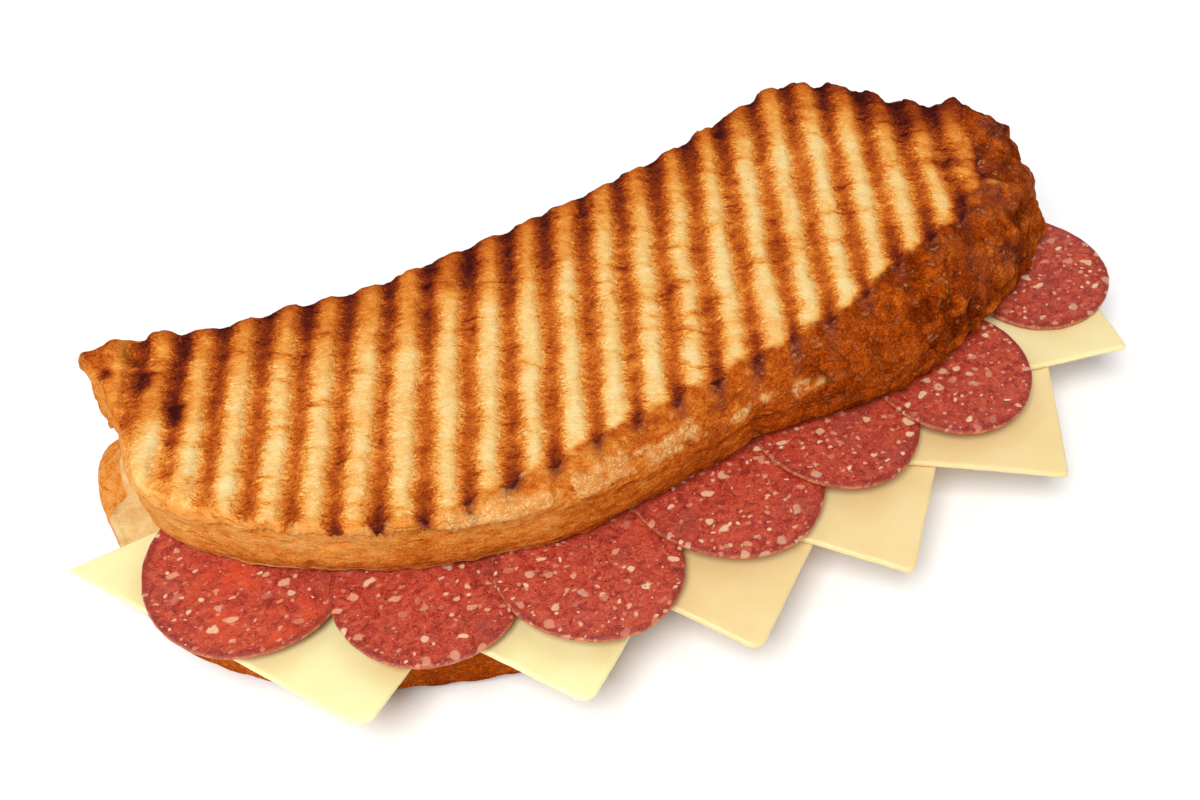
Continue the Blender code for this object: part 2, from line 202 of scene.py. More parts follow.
# Centre x, y, turn in degrees and rounding of the front corner of each slice, from the left, in millimetres
CHEESE_PLACES = (
    (-87.5, 1.4, 30.0, 4.5), (-43.5, -17.7, 32.0, 4.0), (-3.4, -25.2, 33.0, 3.5),
    (30.2, -25.0, 42.7, 2.5), (66.5, -23.0, 57.2, 1.2), (88.3, -6.9, 77.3, 1.2),
)
TRIM_TIP = np.array([-146.0, 15.1]) * MM
TRIM_TURN = math.radians(2)
TRIM_BACK = 12 * MM
SMALL_CORNER = 1.2
SALAMI_THICK = 1.4 * MM
SALAMI_COUNT = 7
SALAMI_STEP = 0.55 * MM
# How far the painted shade on the cheese reaches out from the salami
SHADE_REACH = 4 * MM
FAINT_GLOW = 0.12
# Distance between the patterns of noise on two slices
PATTERN_STEP = 50 * MM
# Large, middle and small fat, and pepper: spacing, share of the places that hold a piece, size and raggedness
INLAY_INPUTS = ("Spacing", "Share", "Spot_Size", "Ragged")
INLAYS = (
    (4.8 * MM, 0.62, 0.37, 0.9), (2.4 * MM, 0.42, 0.38, 0.9), (1.1 * MM, 0.30, 0.34, 0.8),
    (2.6 * MM, 0.50, 0.11, 0.3),
)

# Stage
FLOOR_HALF = 2.0
KEY_PLACE = (-0.95, -0.75, 1.95)
KEY_AIM = (0, 0, 0.03)
KEY_WIDTH = 1.0

# Grids
RING_STEP = 0.74 * MM
CURVE_STEPS = 60
FACE_ROWS = 64
WALL_ROWS = 42
CUT_ROWS = 10
SHEET_ROWS = 32
SHEET_EDGE_ROWS = 8
CORNER_STEPS = 10
LATTICE = 32


def smooth_step(value, low, high):
    """3t^2 - 2t^3 of the place t between low and high: 0 up to low, and 1 from high on."""
    t = np.clip((value - low) / (high - low), 0, 1)
    return t * t * (3 - 2 * t)


def lattice_noise(points, size, seed):
    """Value noise from -1 to 1.

    Random numbers at the corners of a cubic lattice of cells of this size, blended by 3t^2 - 2t^3 of the
    place in the cell along each axis.
    """
    corners = np.random.default_rng(seed).uniform(-1, 1, (LATTICE,) * 3)
    scaled = np.asarray(points) / size
    cell = np.floor(scaled).astype(int)
    t = scaled - cell
    t = t * t * (3 - 2 * t)
    total = np.zeros(scaled.shape[:-1])
    for corner in itertools.product((0, 1), repeat=3):
        x, y, z = np.moveaxis((cell + corner) % LATTICE, -1, 0)
        total += np.where(corner, t, 1 - t).prod(-1) * corners[x, y, z]
    return total


def layered_noise(points, size, seed, layers=3):
    """Value noise in layers, each half as large and half as strong as the one before."""
    total = 0
    for layer in range(layers):
        total = total + lattice_noise(points, size / 2**layer, seed + layer) / 2**layer
    return total


def facets(points, size, seed):
    """Crags from about -1 to 1: each point takes the height and the tilt of its nearest scattered centre.

    The centres lie at random, one in each cell of a cubic lattice. The height is that of a plane through the
    centre with a random slope.
    """
    random = np.random.default_rng(seed)
    shifts = random.uniform(0.1, 0.9, (LATTICE,) * 3 + (3,))
    planes = random.uniform(-1, 1, (LATTICE,) * 3 + (4,))
    scaled = np.asarray(points) / size
    cell = np.floor(scaled).astype(int)
    best = np.full(scaled.shape[:-1], np.inf)
    height = np.zeros_like(best)
    for step in itertools.product((-1, 0, 1), repeat=3):
        at = cell + step
        x, y, z = np.moveaxis(at % LATTICE, -1, 0)
        away = scaled - at - shifts[x, y, z]
        square = (away**2).sum(-1)
        plane = planes[x, y, z]
        value = 0.5 * plane[..., 3] + (away * plane[..., :3]).sum(-1)
        height = np.where(square < best, value, height)
        best = np.minimum(square, best)
    return height


def closed_curve(points, steps):
    """Catmull-Rom curve through the points and back to the first, with this many steps between two points."""
    before = np.roll(points, 1, 0)
    after = np.roll(points, -1, 0)
    beyond = np.roll(points, -2, 0)
    t = (np.arange(steps) / steps)[None, :, None]
    linear = (after - before)[:, None] * t
    square = (2 * before - 5 * points + 4 * after - beyond)[:, None] * t**2
    cube = (3 * points - before - 3 * after + beyond)[:, None] * t**3
    return (points[:, None] + 0.5 * (linear + square + cube)).reshape(-1, 2)


def even_points(line):
    """Points at equal steps along an open line, without its two ends."""
    length = np.append(0, np.hypot(*np.diff(line, axis=0).T).cumsum())
    count = max(round(length[-1] / RING_STEP), 2)
    at = length[-1] * np.arange(1, count) / count
    return np.column_stack([np.interp(at, length, line[:, 0]), np.interp(at, length, line[:, 1])])


def loaf_ring(outline):
    """The outline as a ring of even steps, its spine, each ring point's place there, and the fine curve.

    The spine runs halfway between the back and the front. Along it, back and front points pair at the same
    x, and round each end the points fan out from the end of the spine.
    """
    curve = closed_curve(outline, CURVE_STEPS)
    curve = np.roll(curve, -curve[:, 0].argmin(), 0)
    turn = curve[:, 0].argmax()
    back = curve[:turn + 1]
    front = np.vstack([curve[turn:], curve[:1]])
    x = np.linspace(SPINE_FROM, SPINE_TO, round((SPINE_TO - SPINE_FROM) / RING_STEP) + 1)
    back_run = np.column_stack([x, np.interp(x, back[:, 0], back[:, 1])])
    front_run = np.column_stack([x, np.interp(x, front[::-1, 0], front[::-1, 1])])
    right = np.vstack([back_run[-1:], curve[curve[:, 0] > SPINE_TO], front_run[-1:]])
    left = np.vstack([
        front_run[:1], front[front[:, 0] < SPINE_FROM], back[back[:, 0] < SPINE_FROM][1:], back_run[:1],
    ])
    right, left = even_points(right), even_points(left)
    ring = np.vstack([back_run, right, front_run[::-1], left])
    along = np.arange(len(x))
    seam = np.concatenate([along, np.full(len(right), len(x) - 1), along[::-1], np.zeros(len(left), int)])
    return ring, (back_run + front_run) / 2, seam, curve


def outward(ring):
    """Unit vectors out of a ring that runs clockwise: its direction at each point, turned left."""
    ahead = np.roll(ring, -1, 0) - np.roll(ring, 1, 0)
    ahead /= np.hypot(*ahead.T)[:, None]
    return np.column_stack([-ahead[:, 1], ahead[:, 0]])


def edge_distance(rows, curve):
    """Distance from each point of each row to the nearest point of the curve."""
    return np.array([np.sqrt(((row[:, None] - curve) ** 2).sum(-1).min(-1)) for row in rows])


def surface_normals(rows):
    """Unit normals of a grid of rows closed round: the cross product of its two directions."""
    down = np.gradient(rows, axis=0)
    round_about = np.roll(rows, -1, 1) - np.roll(rows, 1, 1)
    normal = np.cross(down, round_about)
    return normal / np.maximum(np.linalg.norm(normal, axis=-1), 1e-12)[..., None]


def closed_faces(rows, around, seam, spine_count):
    """Faces of a grid closed round, with the spine's points before it and again after it.

    Returns index arrays of triangles and quads. The seam gives the spine point of each ring point.
    """
    grid = spine_count + np.arange(rows * around).reshape(rows, around)
    beside = np.roll(grid, -1, 1)
    quads = [np.stack([grid[:-1], beside[:-1], beside[1:], grid[1:]], -1).reshape(-1, 4)]
    triangles = []
    for spine, row, turn in ((seam, 0, 1), (seam + spine_count + rows * around, -1, -1)):
        following = np.roll(spine, -1)
        same = spine == following
        corners = np.stack([spine, following, beside[row], grid[row]], -1)
        quads.append(corners[~same][:, ::turn])
        triangles.append(corners[same][:, [0, 2, 3]][:, ::turn])
    return np.vstack(triangles), np.vstack(quads)


def mesh_from_arrays(name, points, triangles, quads, attributes):
    """A smooth mesh object of these faces, with its point attributes.

    The faces are turned round where they point inwards: where the sum of a . (b x c) over all of them, with
    each quad as two triangles, is below zero.
    """
    halves = np.vstack([triangles, quads[:, :3], quads[:, [0, 2, 3]]])
    a, b, c = (points[halves[:, k]] for k in range(3))
    if np.einsum("ij,ij->", a, np.cross(b, c)) < 0:
        triangles, quads = triangles[:, ::-1], quads[:, ::-1]
    mesh = bpy.data.meshes.new(name)
    mesh.from_pydata(points.tolist(), [], triangles.tolist() + quads.tolist())
    for key, values in attributes.items():
        mesh.attributes.new(key, "FLOAT", "POINT").data.foreach_set("value", values.astype(np.float32))
    mesh.shade_smooth()
    piece = bpy.data.objects.new(name, mesh)
    bpy.context.scene.collection.objects.link(piece)
    return piece


def stand_for(piece, node, material):
    """Gives a piece its material, and has it ride on the body in place of its solid."""
    piece.data.materials.append(material)
    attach(piece, "root")
    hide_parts(node)


def droop(y):
    """How far a soft slice has sunk, as the square of how far it hangs over the front of the lower bread."""
    return DROOP_GROWTH * np.maximum(DROOP_FROM_Y - y, 0) ** 2


def node_points(node):
    """The points of a solid, as an array."""
    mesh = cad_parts[node].data
    points = np.empty(len(mesh.vertices) * 3, np.float32)
    mesh.vertices.foreach_get("co", points)
    return points.reshape(-1, 3).astype(float)


def top_level(node):
    """Height of a filling slice's top at x = 0, with the common lean and the droop taken off."""
    x, y, z = node_points(node).T
    return (z + LEAN * x + droop(y)).max()


def salami_place(number):
    """Centre and radius of a salami slice, from its solid's box."""
    low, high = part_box(f"salami_{number}")
    return (low.x + high.x) / 2, (low.y + high.y) / 2, (high.x - low.x + high.y - low.y) / 4


CHEESE_LEVELS = [top_level(f"cheese_{k + 1}") for k in range(len(CHEESE_PLACES))]
SALAMI_LEVELS = [top_level(f"salami_{k + 1}") for k in range(SALAMI_COUNT)]
SALAMI_PLACES = [salami_place(k + 1) for k in range(SALAMI_COUNT)]


def beside_square(x, y, place):
    """How far points lie outside a square cheese slice."""
    turn = math.radians(place[2])
    dx, dy = x - place[0] * MM, y - place[1] * MM
    u = np.abs(dx * math.cos(turn) + dy * math.sin(turn)) - CHEESE_SIDE / 2
    v = np.abs(dy * math.cos(turn) - dx * math.sin(turn)) - CHEESE_SIDE / 2
    return np.hypot(np.maximum(u, 0), np.maximum(v, 0))


def upper_cut(places):
    """Height of the upper slice's cut face, which lies on the filling and sags beside each slice of it."""
    x, y = places[..., 0], places[..., 1]
    rests = [
        level - REST_SAG * beside_square(x, y, place) for level, place in zip(CHEESE_LEVELS, CHEESE_PLACES)
    ]
    rests += [
        level - REST_SAG * np.maximum(np.hypot(x - place[0], y - place[1]) - place[2], 0)
        for level, place in zip(SALAMI_LEVELS, SALAMI_PLACES)
    ]
    return np.max(rests, axis=0) - LEAN * x + REST_GAP


def lower_cut(places):
    """Height of the lower slice's cut face: it leans as the filling does, and falls away at the left end."""
    x = places[..., 0]
    leaning = CUT_HEIGHT + LEAN * np.clip(LEAN_TO_X - x, 0, LEAN_TO_X - LEAN_FROM_X)
    return leaning - TIP_FALL * smooth_step(LEAN_FROM_X - x, 0, TIP_LENGTH)


def rib_phase(places, start, seed):
    """Phase from the nearest rib: 0 in the middle of a groove, 0.5 on top of a ridge, and a little wandering.

    The place across the ribs is warped by noise before its phase is taken. A second noise moves the phase.
    """
    flat = np.concatenate([places, np.zeros(places.shape[:-1] + (1,))], -1)
    across = places @ RIB_ACROSS
    across = across + 0.45 * MM * layered_noise(flat, 11 * MM, seed)
    across = across + 0.22 * MM * layered_noise(flat, 3 * MM, seed + 10, 2)
    phase = np.abs((across - start) / RIB_PITCH % 1)
    phase = np.minimum(phase, 1 - phase)
    return phase - 0.04 * layered_noise(flat, 14 * MM, seed + 20)


def gaussian_spots(points, spots):
    """Sum over the spots of amount times exp(-(distance / size)^2), with a size for each axis."""
    total = 0
    for *values, amount in spots:
        place, size = np.array(values[:3]) * MM, np.array(values[3:]) * MM
        total = total + amount * np.exp(-(((points - place) / size) ** 2).sum(-1))
    return total


def upper_shoulder(places):
    """Width and height of the upper slice's rounding: narrow at the left, broad at the front and right."""
    x, y = places[..., 0], places[..., 1]
    front = np.interp(x, SHOULDER_X, SHOULDER_WIDTH)
    back = np.minimum(BACK_SHOULDER, front + BACK_SHOULDER / 2)
    back = back + (front - back) * smooth_step(x, END_FROM_X, END_TO_X)
    width = back + (front - back) * smooth_step(-y, 0, FRONT_BLEND)
    return width, np.minimum(SHOULDER_BASE + SHOULDER_RISE * width, SHOULDER_MOST)


def rounding_fall(distance, width, height):
    """Fall of a shoulder: a quarter of an ellipse, from nothing at its width to its height at the edge."""
    inside = np.clip(1 - distance / width, 0, 1)
    return height * (1 - np.sqrt(1 - inside**2))


def behind_front(places):
    """How far behind the front edge of the grilled crumb points lie."""
    return (places[..., 1] - np.interp(places[..., 0], FACE_EDGE_X, FACE_EDGE_Y)) * FACE_EDGE_SLOPE


def inside_face(places, distance):
    """How far inside the grilled crumb points lie, from its front edge or its border, whichever is nearer."""
    x, y = places[..., 0], places[..., 1]
    front = behind_front(places)
    left = smooth_step(-x, 60 * MM, 80 * MM) * (1 - smooth_step(y, 16 * MM, 28 * MM))
    return np.minimum(distance - FACE_BORDER - LEFT_BORDER * left, front)


def wrinkles(points, weight):
    """Long creases round the left wall: a sharpened sine of height and place, bent by noise."""
    bend = 2.2 * layered_noise(points, 24 * MM, 71)
    slant = points[..., 2] / (4.6 * MM) + (points[..., 0] + 130 * MM) / (11 * MM) + bend
    crease = 1 - np.abs(np.sin(slant)) ** 0.5
    patchy = smooth_step(layered_noise(points, 15 * MM, 75), -0.5, 0.5)
    return -1.05 * MM * weight * crease * patchy


def draw_in_end(points):
    """Moves the right end inwards above its middle, so that its crust bulges halfway down."""
    share = smooth_step(points[..., 2], 22 * MM, 42 * MM) * smooth_step(points[..., 0], 102 * MM, 125 * MM)
    share = share * (0.45 + 0.55 * smooth_step(-points[..., 1], 0, 12 * MM))
    points[..., :2] += END_DRAW * share[..., None] * END_INWARD


def face_rows(ring, spine, seam):
    """Rows of a grilled face, 1 - (1 - t)^1.3 of the way from the spine out to the ring."""
    t = 1 - (1 - np.linspace(0, 1, FACE_ROWS + 1)[1:]) ** 1.3
    return spine[seam] + (ring - spine[seam]) * t[:, None, None]


def stacked(flat_rows, heights):
    """One grid of points from rows of places and their heights."""
    return np.concatenate([np.concatenate(flat_rows), np.concatenate(heights)[..., None]], -1)


def upper_slice_grid(settings):
    """Rows of points of the upper slice, from its spine over the grilled face, down the crust and in.

    The face is level with grooves cut in, which fade towards the front, and is rounded at the edge by a
    quarter of an ellipse. The wall is set in by a ledge under the left rim and by a Gaussian crease
    elsewhere, and tucked in at the cut edge by the square of a smooth step.
    """
    ring, spine, seam, curve = loaf_ring(UPPER_OUTLINE)
    face = face_rows(ring, spine, seam)
    distance = edge_distance(face, curve)
    fall = rounding_fall(distance, *upper_shoulder(face))
    phase = rib_phase(face, UPPER_RIB_START, 3)
    relief = (1 - smooth_step(phase, GROOVE_FLOOR, GROOVE_EDGE)) * (1 - smooth_step(fall, 0, RIB_FADE))
    relief = relief * smooth_step(inside_face(face, distance), -5 * MM, 0.5 * MM)
    relief = relief * (0.15 + 0.85 * smooth_step(behind_front(face), -4 * MM, 11 * MM))
    mark_phase = rib_phase(face, UPPER_RIB_START + MARK_SHIFT, 3)
    curl = smooth_step(-face[..., 0], 108 * MM, 121 * MM) * smooth_step(face[..., 1], 38 * MM, 52 * MM)
    rise = TOP_HEIGHT - fall - settings.rib_depth * relief + CORNER_CURL * curl

    v = np.linspace(0, 1, WALL_ROWS + 1)[1:]
    tuck = CUT_TUCK * (1 - smooth_step(ring[:, 0], 112 * MM, 127 * MM))
    inset = CREASE * np.exp(-(((v - 0.2) / 0.13) ** 2))[:, None] * smooth_step(ring[:, 0], -70 * MM, -30 * MM)
    inset = inset + tuck * smooth_step(v, 0.6, 1)[:, None] ** 2
    ledge = LEDGE * (1 - smooth_step(ring[:, 0], -64 * MM, -40 * MM))
    inset = inset + ledge * smooth_step(v, 0.01, 0.09)[:, None]
    wall = ring - outward(ring) * inset[..., None]
    wall_rise = rise[-1] + (upper_cut(wall[-1]) + EDGE_LIFT - rise[-1]) * v[:, None]

    u = 1 - (np.arange(1, CUT_ROWS + 1) / (CUT_ROWS + 1)) ** 1.6
    cut = spine[seam] + (wall[-1] - spine[seam]) * u[:, None, None]
    cut_rise = upper_cut(cut) + EDGE_LIFT * smooth_step(u, 0.86, 1)[:, None]
    points = stacked([face, wall, cut], [rise, wall_rise, cut_rise])
    draw_in_end(points)
    return points, spine, seam, mark_phase, distance, v


def lower_slice_grid():
    """Rows of points of the lower slice, from its spine over the grilled underside, up the crust and in.

    The underside is level at z = 0 with grooves, rounded at the edge by a quarter of an ellipse. The wall
    is tucked in at the cut edge, and further in at the left end, where the crust bulges.
    """
    ring, spine, seam, curve = loaf_ring(LOWER_OUTLINE)
    face = face_rows(ring, spine, seam)
    distance = edge_distance(face, curve)
    fall = rounding_fall(distance, LOWER_SHOULDER, LOWER_SHOULDER)
    phase = rib_phase(face, LOWER_RIB_START, 43)
    groove = 1 - smooth_step(phase, GROOVE_FLOOR, GROOVE_EDGE)
    rise = fall + LOWER_RIB_DEPTH * groove * (1 - smooth_step(fall, 0, RIB_FADE))

    v = np.linspace(0, 1, WALL_ROWS + 1)[1:]
    bulge = smooth_step(ring[:, 1], 33 * MM, 37 * MM) * smooth_step(-ring[:, 0], 95 * MM, 110 * MM)
    tuck = CUT_TUCK + (BULGE_TUCK - CUT_TUCK) * bulge
    inset = CREASE * np.exp(-(((v - 0.15) / 0.08) ** 2))[:, None]
    inset = inset + tuck * smooth_step(v, 0.5, 1)[:, None] ** 2
    wall = ring - outward(ring) * inset[..., None]
    wall_rise = rise[-1] + (lower_cut(wall[-1]) - rise[-1]) * v[:, None]

    u = np.linspace(1, 0, CUT_ROWS + 2)[1:-1]
    cut = spine[seam] + (wall[-1] - spine[seam]) * u[:, None, None]
    points = stacked([face, wall, cut], [rise, wall_rise, lower_cut(cut)])
    return points, spine, seam, phase, distance, v


def close_grid(name, points, spine, seam, values):
    """The grid as one closed mesh, with the spine above and below it.

    A spine point is as high as the mean of the points beside it, and takes the mean of their values.
    """
    rows, around = points.shape[:2]
    triangles, quads = closed_faces(rows, around, seam, len(spine))
    counts = np.bincount(seam)
    above, below = (
        np.column_stack([spine, np.bincount(seam, points[row, :, 2]) / counts]) for row in (0, -1)
    )
    every = np.concatenate([above, points.reshape(-1, 3), below])
    attributes = {}
    for key, value in values.items():
        first, last = (np.bincount(seam, value[row]) / counts for row in (0, -1))
        attributes[key] = np.concatenate([first, value.ravel(), last])
    return mesh_from_arrays(name, every, triangles, quads, attributes)


def row_values(face, wall, cut, around):
    """One value for each grid point, from values for the rows of the face, the wall and the cut face."""
    return np.concatenate([
        np.broadcast_to(face, (FACE_ROWS, around)),
        np.broadcast_to(wall, (WALL_ROWS, around)),
        np.broadcast_to(cut, (CUT_ROWS, around)),
    ]).astype(float)


def out_of_slice(points, face_up):
    """Unit normals that point out of a slice whose grilled face looks up (1) or down (-1)."""
    normal = surface_normals(points)
    return normal * np.sign(normal[:FACE_ROWS, :, 2].mean()) * face_up


def crumb_edge(points, phase, distance):
    """Masks round the edge of the upper slice's grilled crumb, for every grid point.

    face is 1 on the grilled crumb, and mark is the groove mask, weaker at both ends. Where a groove runs out
    over the front edge, blob is its dark end, smear what runs down from it at the right, and tail the groove
    just behind. hem is a browned line along the front edge, wider at the left.
    """
    around = points.shape[1]
    points = points[:FACE_ROWS]
    x, y = points[..., 0], points[..., 1]
    right = smooth_step(x, *RIGHT_FROM_TO)
    ragged = (1.1 + 1.6 * right) * MM * layered_noise(points, 6 * MM, 5)
    ragged = ragged + (0.7 + 0.5 * right) * MM * layered_noise(points, 1.8 * MM, 9, 2)
    border = inside_face(points[..., :2], distance)
    ends = 0.72 * smooth_step(-x, 110 * MM, 119 * MM) + 0.40 * smooth_step(x, 84 * MM, 112 * MM)
    mark = (1 - smooth_step(phase, 0.01, 0.44)) * (1 - ends)
    in_front = smooth_step(-y, -8 * MM, 8 * MM) * smooth_step(x, -100 * MM, -84 * MM)
    core = in_front * (1 - smooth_step(phase, 0.0, 0.30))
    blob = core * np.exp(-(((border + 0.6 * MM) / (3.4 * MM)) ** 2))
    smear = core * smooth_step(border, -11 * MM, -2 * MM) * (1 - smooth_step(border, -2 * MM, 3 * MM))
    smear = smear * smooth_step(x, -30 * MM, 30 * MM)
    tail = core * (1 - smooth_step(border, 2 * MM, 14 * MM))
    within = border + ragged + 1.8 * MM * blob
    hem = in_front * (1 - smooth_step(within, 0.2 * MM, 2.2 * MM))
    hem = hem + 0.2 * smooth_step(-x, 48 * MM, 76 * MM) * (1 - smooth_step(border, 1 * MM, 8 * MM))
    on_face = {"face": smooth_step(within, -2 * MM, 2 * MM), "blob": blob, "tail": tail, "hem": hem}
    masks = {key: row_values(value, 0, 0, around) for key, value in on_face.items()}
    for key, value in (("mark", mark), ("smear", smear)):
        masks[key] = row_values(value, value[-1:], 0, around)
    return masks


def towards_back(points):
    """0 in front of the line where the back's browning starts, rising smoothly to 1 at 10 mm behind it."""
    return smooth_step(points[..., 1] - np.interp(points[..., 0], BACK_X, BACK_Y), 0, 10 * MM)


def upper_browning(points, distance, masks):
    """How far heat has browned the upper crumb: along the back, at the ends, in patches and by the marks."""
    x = points[..., 0]
    left = smooth_step(-x, 84 * MM, 116 * MM)
    behind = towards_back(points)
    rim = 1 - smooth_step(distance / np.interp(x, RIM_X, RIM_REACH), 0.1, 1)
    patches = layered_noise(points, 22 * MM, 31) + 0.7 * layered_noise(points, 8 * MM, 35)
    uneven = 0.05 + 0.03 * left + 0.05 * smooth_step(x, *RIGHT_FROM_TO)
    brown = 0.30 * behind * rim + 0.30 * smooth_step(x, 74 * MM, 118 * MM) + uneven * patches
    brown = brown + 0.14 * (1 - smooth_step(distance, 1 * MM, 7 * MM)) * behind * (1 - left)
    brown = brown + 0.16 * masks["blob"] + 0.10 * masks["tail"] + 0.17 * masks["hem"]
    return brown + gaussian_spots(points, BROWN_SPOTS)


def pale_lip(points):
    """Mask of the pale lip: a band about a height that noise bends, broken by a second noise.

    Its pale skin is partly a painted sheen.
    """
    x, y, z = np.moveaxis(points, -1, 0)
    over = z - np.interp(x, LIP_X, LIP_Z) - 0.8 * MM * layered_noise(points, 7 * MM, 37)
    lip = smooth_step(over, -3.0 * MM, -1.6 * MM) * (1 - smooth_step(over, 0.4 * MM, 3.4 * MM))
    lip = lip * smooth_step(-y, 14 * MM, 24 * MM)
    lip = lip * smooth_step(x, -84 * MM, -66 * MM) * (1 - smooth_step(x, 0, 50 * MM))
    return lip * smooth_step(layered_noise(points, 6 * MM, 39), -0.5, 0.4)


def crust_crags(points):
    """Fields of the crust's relief, from about -1 to 1: lumps, sharp ridges, flaky crags and leathery folds.

    Ridges and folds are 1 - 2|noise|, so they peak where the noise is nothing. The crags are facets of points
    that noise has moved a little.
    """
    lumps = layered_noise(points, 5 * MM, 61)
    ridges = 1 - 2 * np.abs(layered_noise(points, 8 * MM, 63, 2))
    bent = points + 0.9 * MM * np.stack([layered_noise(points, 3 * MM, 91 + k) for k in range(3)], -1)
    flaky = facets(bent, 8.5 * MM, 95) + 0.3 * facets(bent + 0.3 * MM, 3.6 * MM, 97)
    leather = 1 - 2 * np.abs(layered_noise(points * (1, 1, 1.5), 4 * MM, 67, 2))
    return lumps, ridges, flaky, leather


def rough_shares(points):
    """How rough the crust is and how craggy: both grow smoothly along X, the crags later."""
    x = points[..., 0]
    return smooth_step(x, -20 * MM, 90 * MM), smooth_step(x, 35 * MM, 85 * MM)


def upper_crust(points, depth, masks, lip, crags):
    """How dark the upper crust is: more to the right, at the back and lower down, less on what stands out.

    depth is how far down the wall a point lies, and noise of two sizes is added. The lighter crust on what
    stands out and the darker crust in the hollows are painted highlight and painted shade.
    """
    lumps, ridges, flaky, leather = crags
    rough, craggy = rough_shares(points)
    crust = np.interp(points[..., 0], CRUST_X, CRUST_DARKNESS)
    crust = crust + 0.06 * layered_noise(points, 12 * MM, 33)
    crust = crust + 0.07 * layered_noise(points * (1, 1, 0.3), 5 * MM, 43)
    crust = crust + 0.10 * smooth_step(points[..., 1], 10 * MM, 35 * MM) + 0.12 * smooth_step(depth, 0.3, 0.9)
    # Paler on the lip, whose pale skin is partly a painted sheen, and darker at the marks' ends
    crust = crust - 0.10 * lip + 0.12 * masks["blob"]
    # Painted highlight and shade: lighter where lumps, ridges, folds and crags stand out, darker between
    crust = crust - (0.02 + 0.05 * rough) * (lumps + ridges) - 0.20 * craggy * (ridges - 0.4)
    return crust - 0.20 * craggy * flaky - 0.05 * (leather - 0.4) - 0.04 * craggy


def charring(points, masks):
    """How far the crust is stained purple-brown: at the marks' ends, and in patches high on the right end."""
    char = np.minimum(1.2 * masks["blob"] + 0.5 * masks["smear"], 1)
    high = smooth_step(points[..., 0], *RIGHT_FROM_TO) * smooth_step(points[..., 2], 34 * MM, 45 * MM)
    return np.maximum(char, 0.75 * high * smooth_step(layered_noise(points, 6 * MM, 41), -0.5, 0.6))


def upper_relief(points, distance, wall, masks, lip, crags):
    """How far each point of the upper slice stands out along its normal.

    The crumb is a fine noise, with crags along the back edge. The crust is a sum of the crags' fields that
    grows to the right, with creases at the left, single bumps and dents, and a flap at the right end.
    """
    x, y, z = np.moveaxis(points, -1, 0)
    lumps, ridges, flaky, leather = crags
    rough, craggy = rough_shares(points)
    face = masks["face"]
    crumb = 0.12 * layered_noise(points, 3.2 * MM, 51) + 0.07 * layered_noise(points, 1.6 * MM, 54, 2)
    crag = 0.6 * layered_noise(points, 4.5 * MM, 57) + 0.4 * layered_noise(points, 2 * MM, 59) + 0.2
    crumb = crumb + towards_back(points) * (1 - smooth_step(distance, 0.5 * MM, 6 * MM)) * face * crag
    blister = (0.10 + 0.22 * rough) * lumps + (0.30 * rough + 0.60 * craggy) * ridges
    blister = blister + craggy * flaky + 0.20 * (1 - craggy) * leather
    blister = blister + (0.06 + 0.10 * rough) * layered_noise(points, 2 * MM, 65, 2)
    flap = smooth_step(x, 115.2 * MM, 116.6 * MM) * smooth_step(y, 2 * MM, 3.6 * MM)
    flap = flap * smooth_step(z, 44 * MM, 48.5 * MM)
    lump = face * crumb + (1 - face) * (blister + 0.40 * lip) + gaussian_spots(points, BUMPS) + 2.4 * flap
    return MM * lump + wrinkles(points, wall * (1 - smooth_step(x, -75 * MM, -35 * MM)))


def make_upper_slice(settings):
    """The upper slice's mesh, with the values that its material reads.

    mark is the groove mask, face is 1 on the grilled crumb and 0 on the crust, brown is how far the heat has
    browned the crumb, crust how dark the crust is, cut is 1 on the cut face, lip on the crackled lip, and
    char is how far the crust is stained purple-brown. Noise makes the lower edge of the wall ragged.
    """
    points, spine, seam, phase, distance, v = upper_slice_grid(settings)
    around = points.shape[1]
    masks = crumb_edge(points, phase, distance)
    distance = row_values(distance, 0, 0, around)
    wall = row_values(0, 1, 0, around)
    lip = pale_lip(points)
    crags = crust_crags(points)
    lump = upper_relief(points, distance, wall, masks, lip, crags) * row_values(1, 1, 0.3, around)
    moved = points + out_of_slice(points, 1) * lump[..., None]
    ragged_edge = row_values(0, smooth_step(v, 0.8, 1)[:, None], 0, around)
    moved[..., 2] += MM * ragged_edge * (0.8 * layered_noise(points, 3 * MM, 81) + 0.35)
    values = {
        "mark": masks["mark"],
        "face": masks["face"],
        "brown": upper_browning(points, distance, masks),
        "crust": upper_crust(points, row_values(0, v[:, None], 0, around), masks, lip, crags),
        "cut": row_values(0, smooth_step(v, 0.97, 1)[:, None], 1, around),
        "lip": lip,
        "char": charring(points, masks),
    }
    return close_grid("grilled_slice", moved, spine, seam, values)


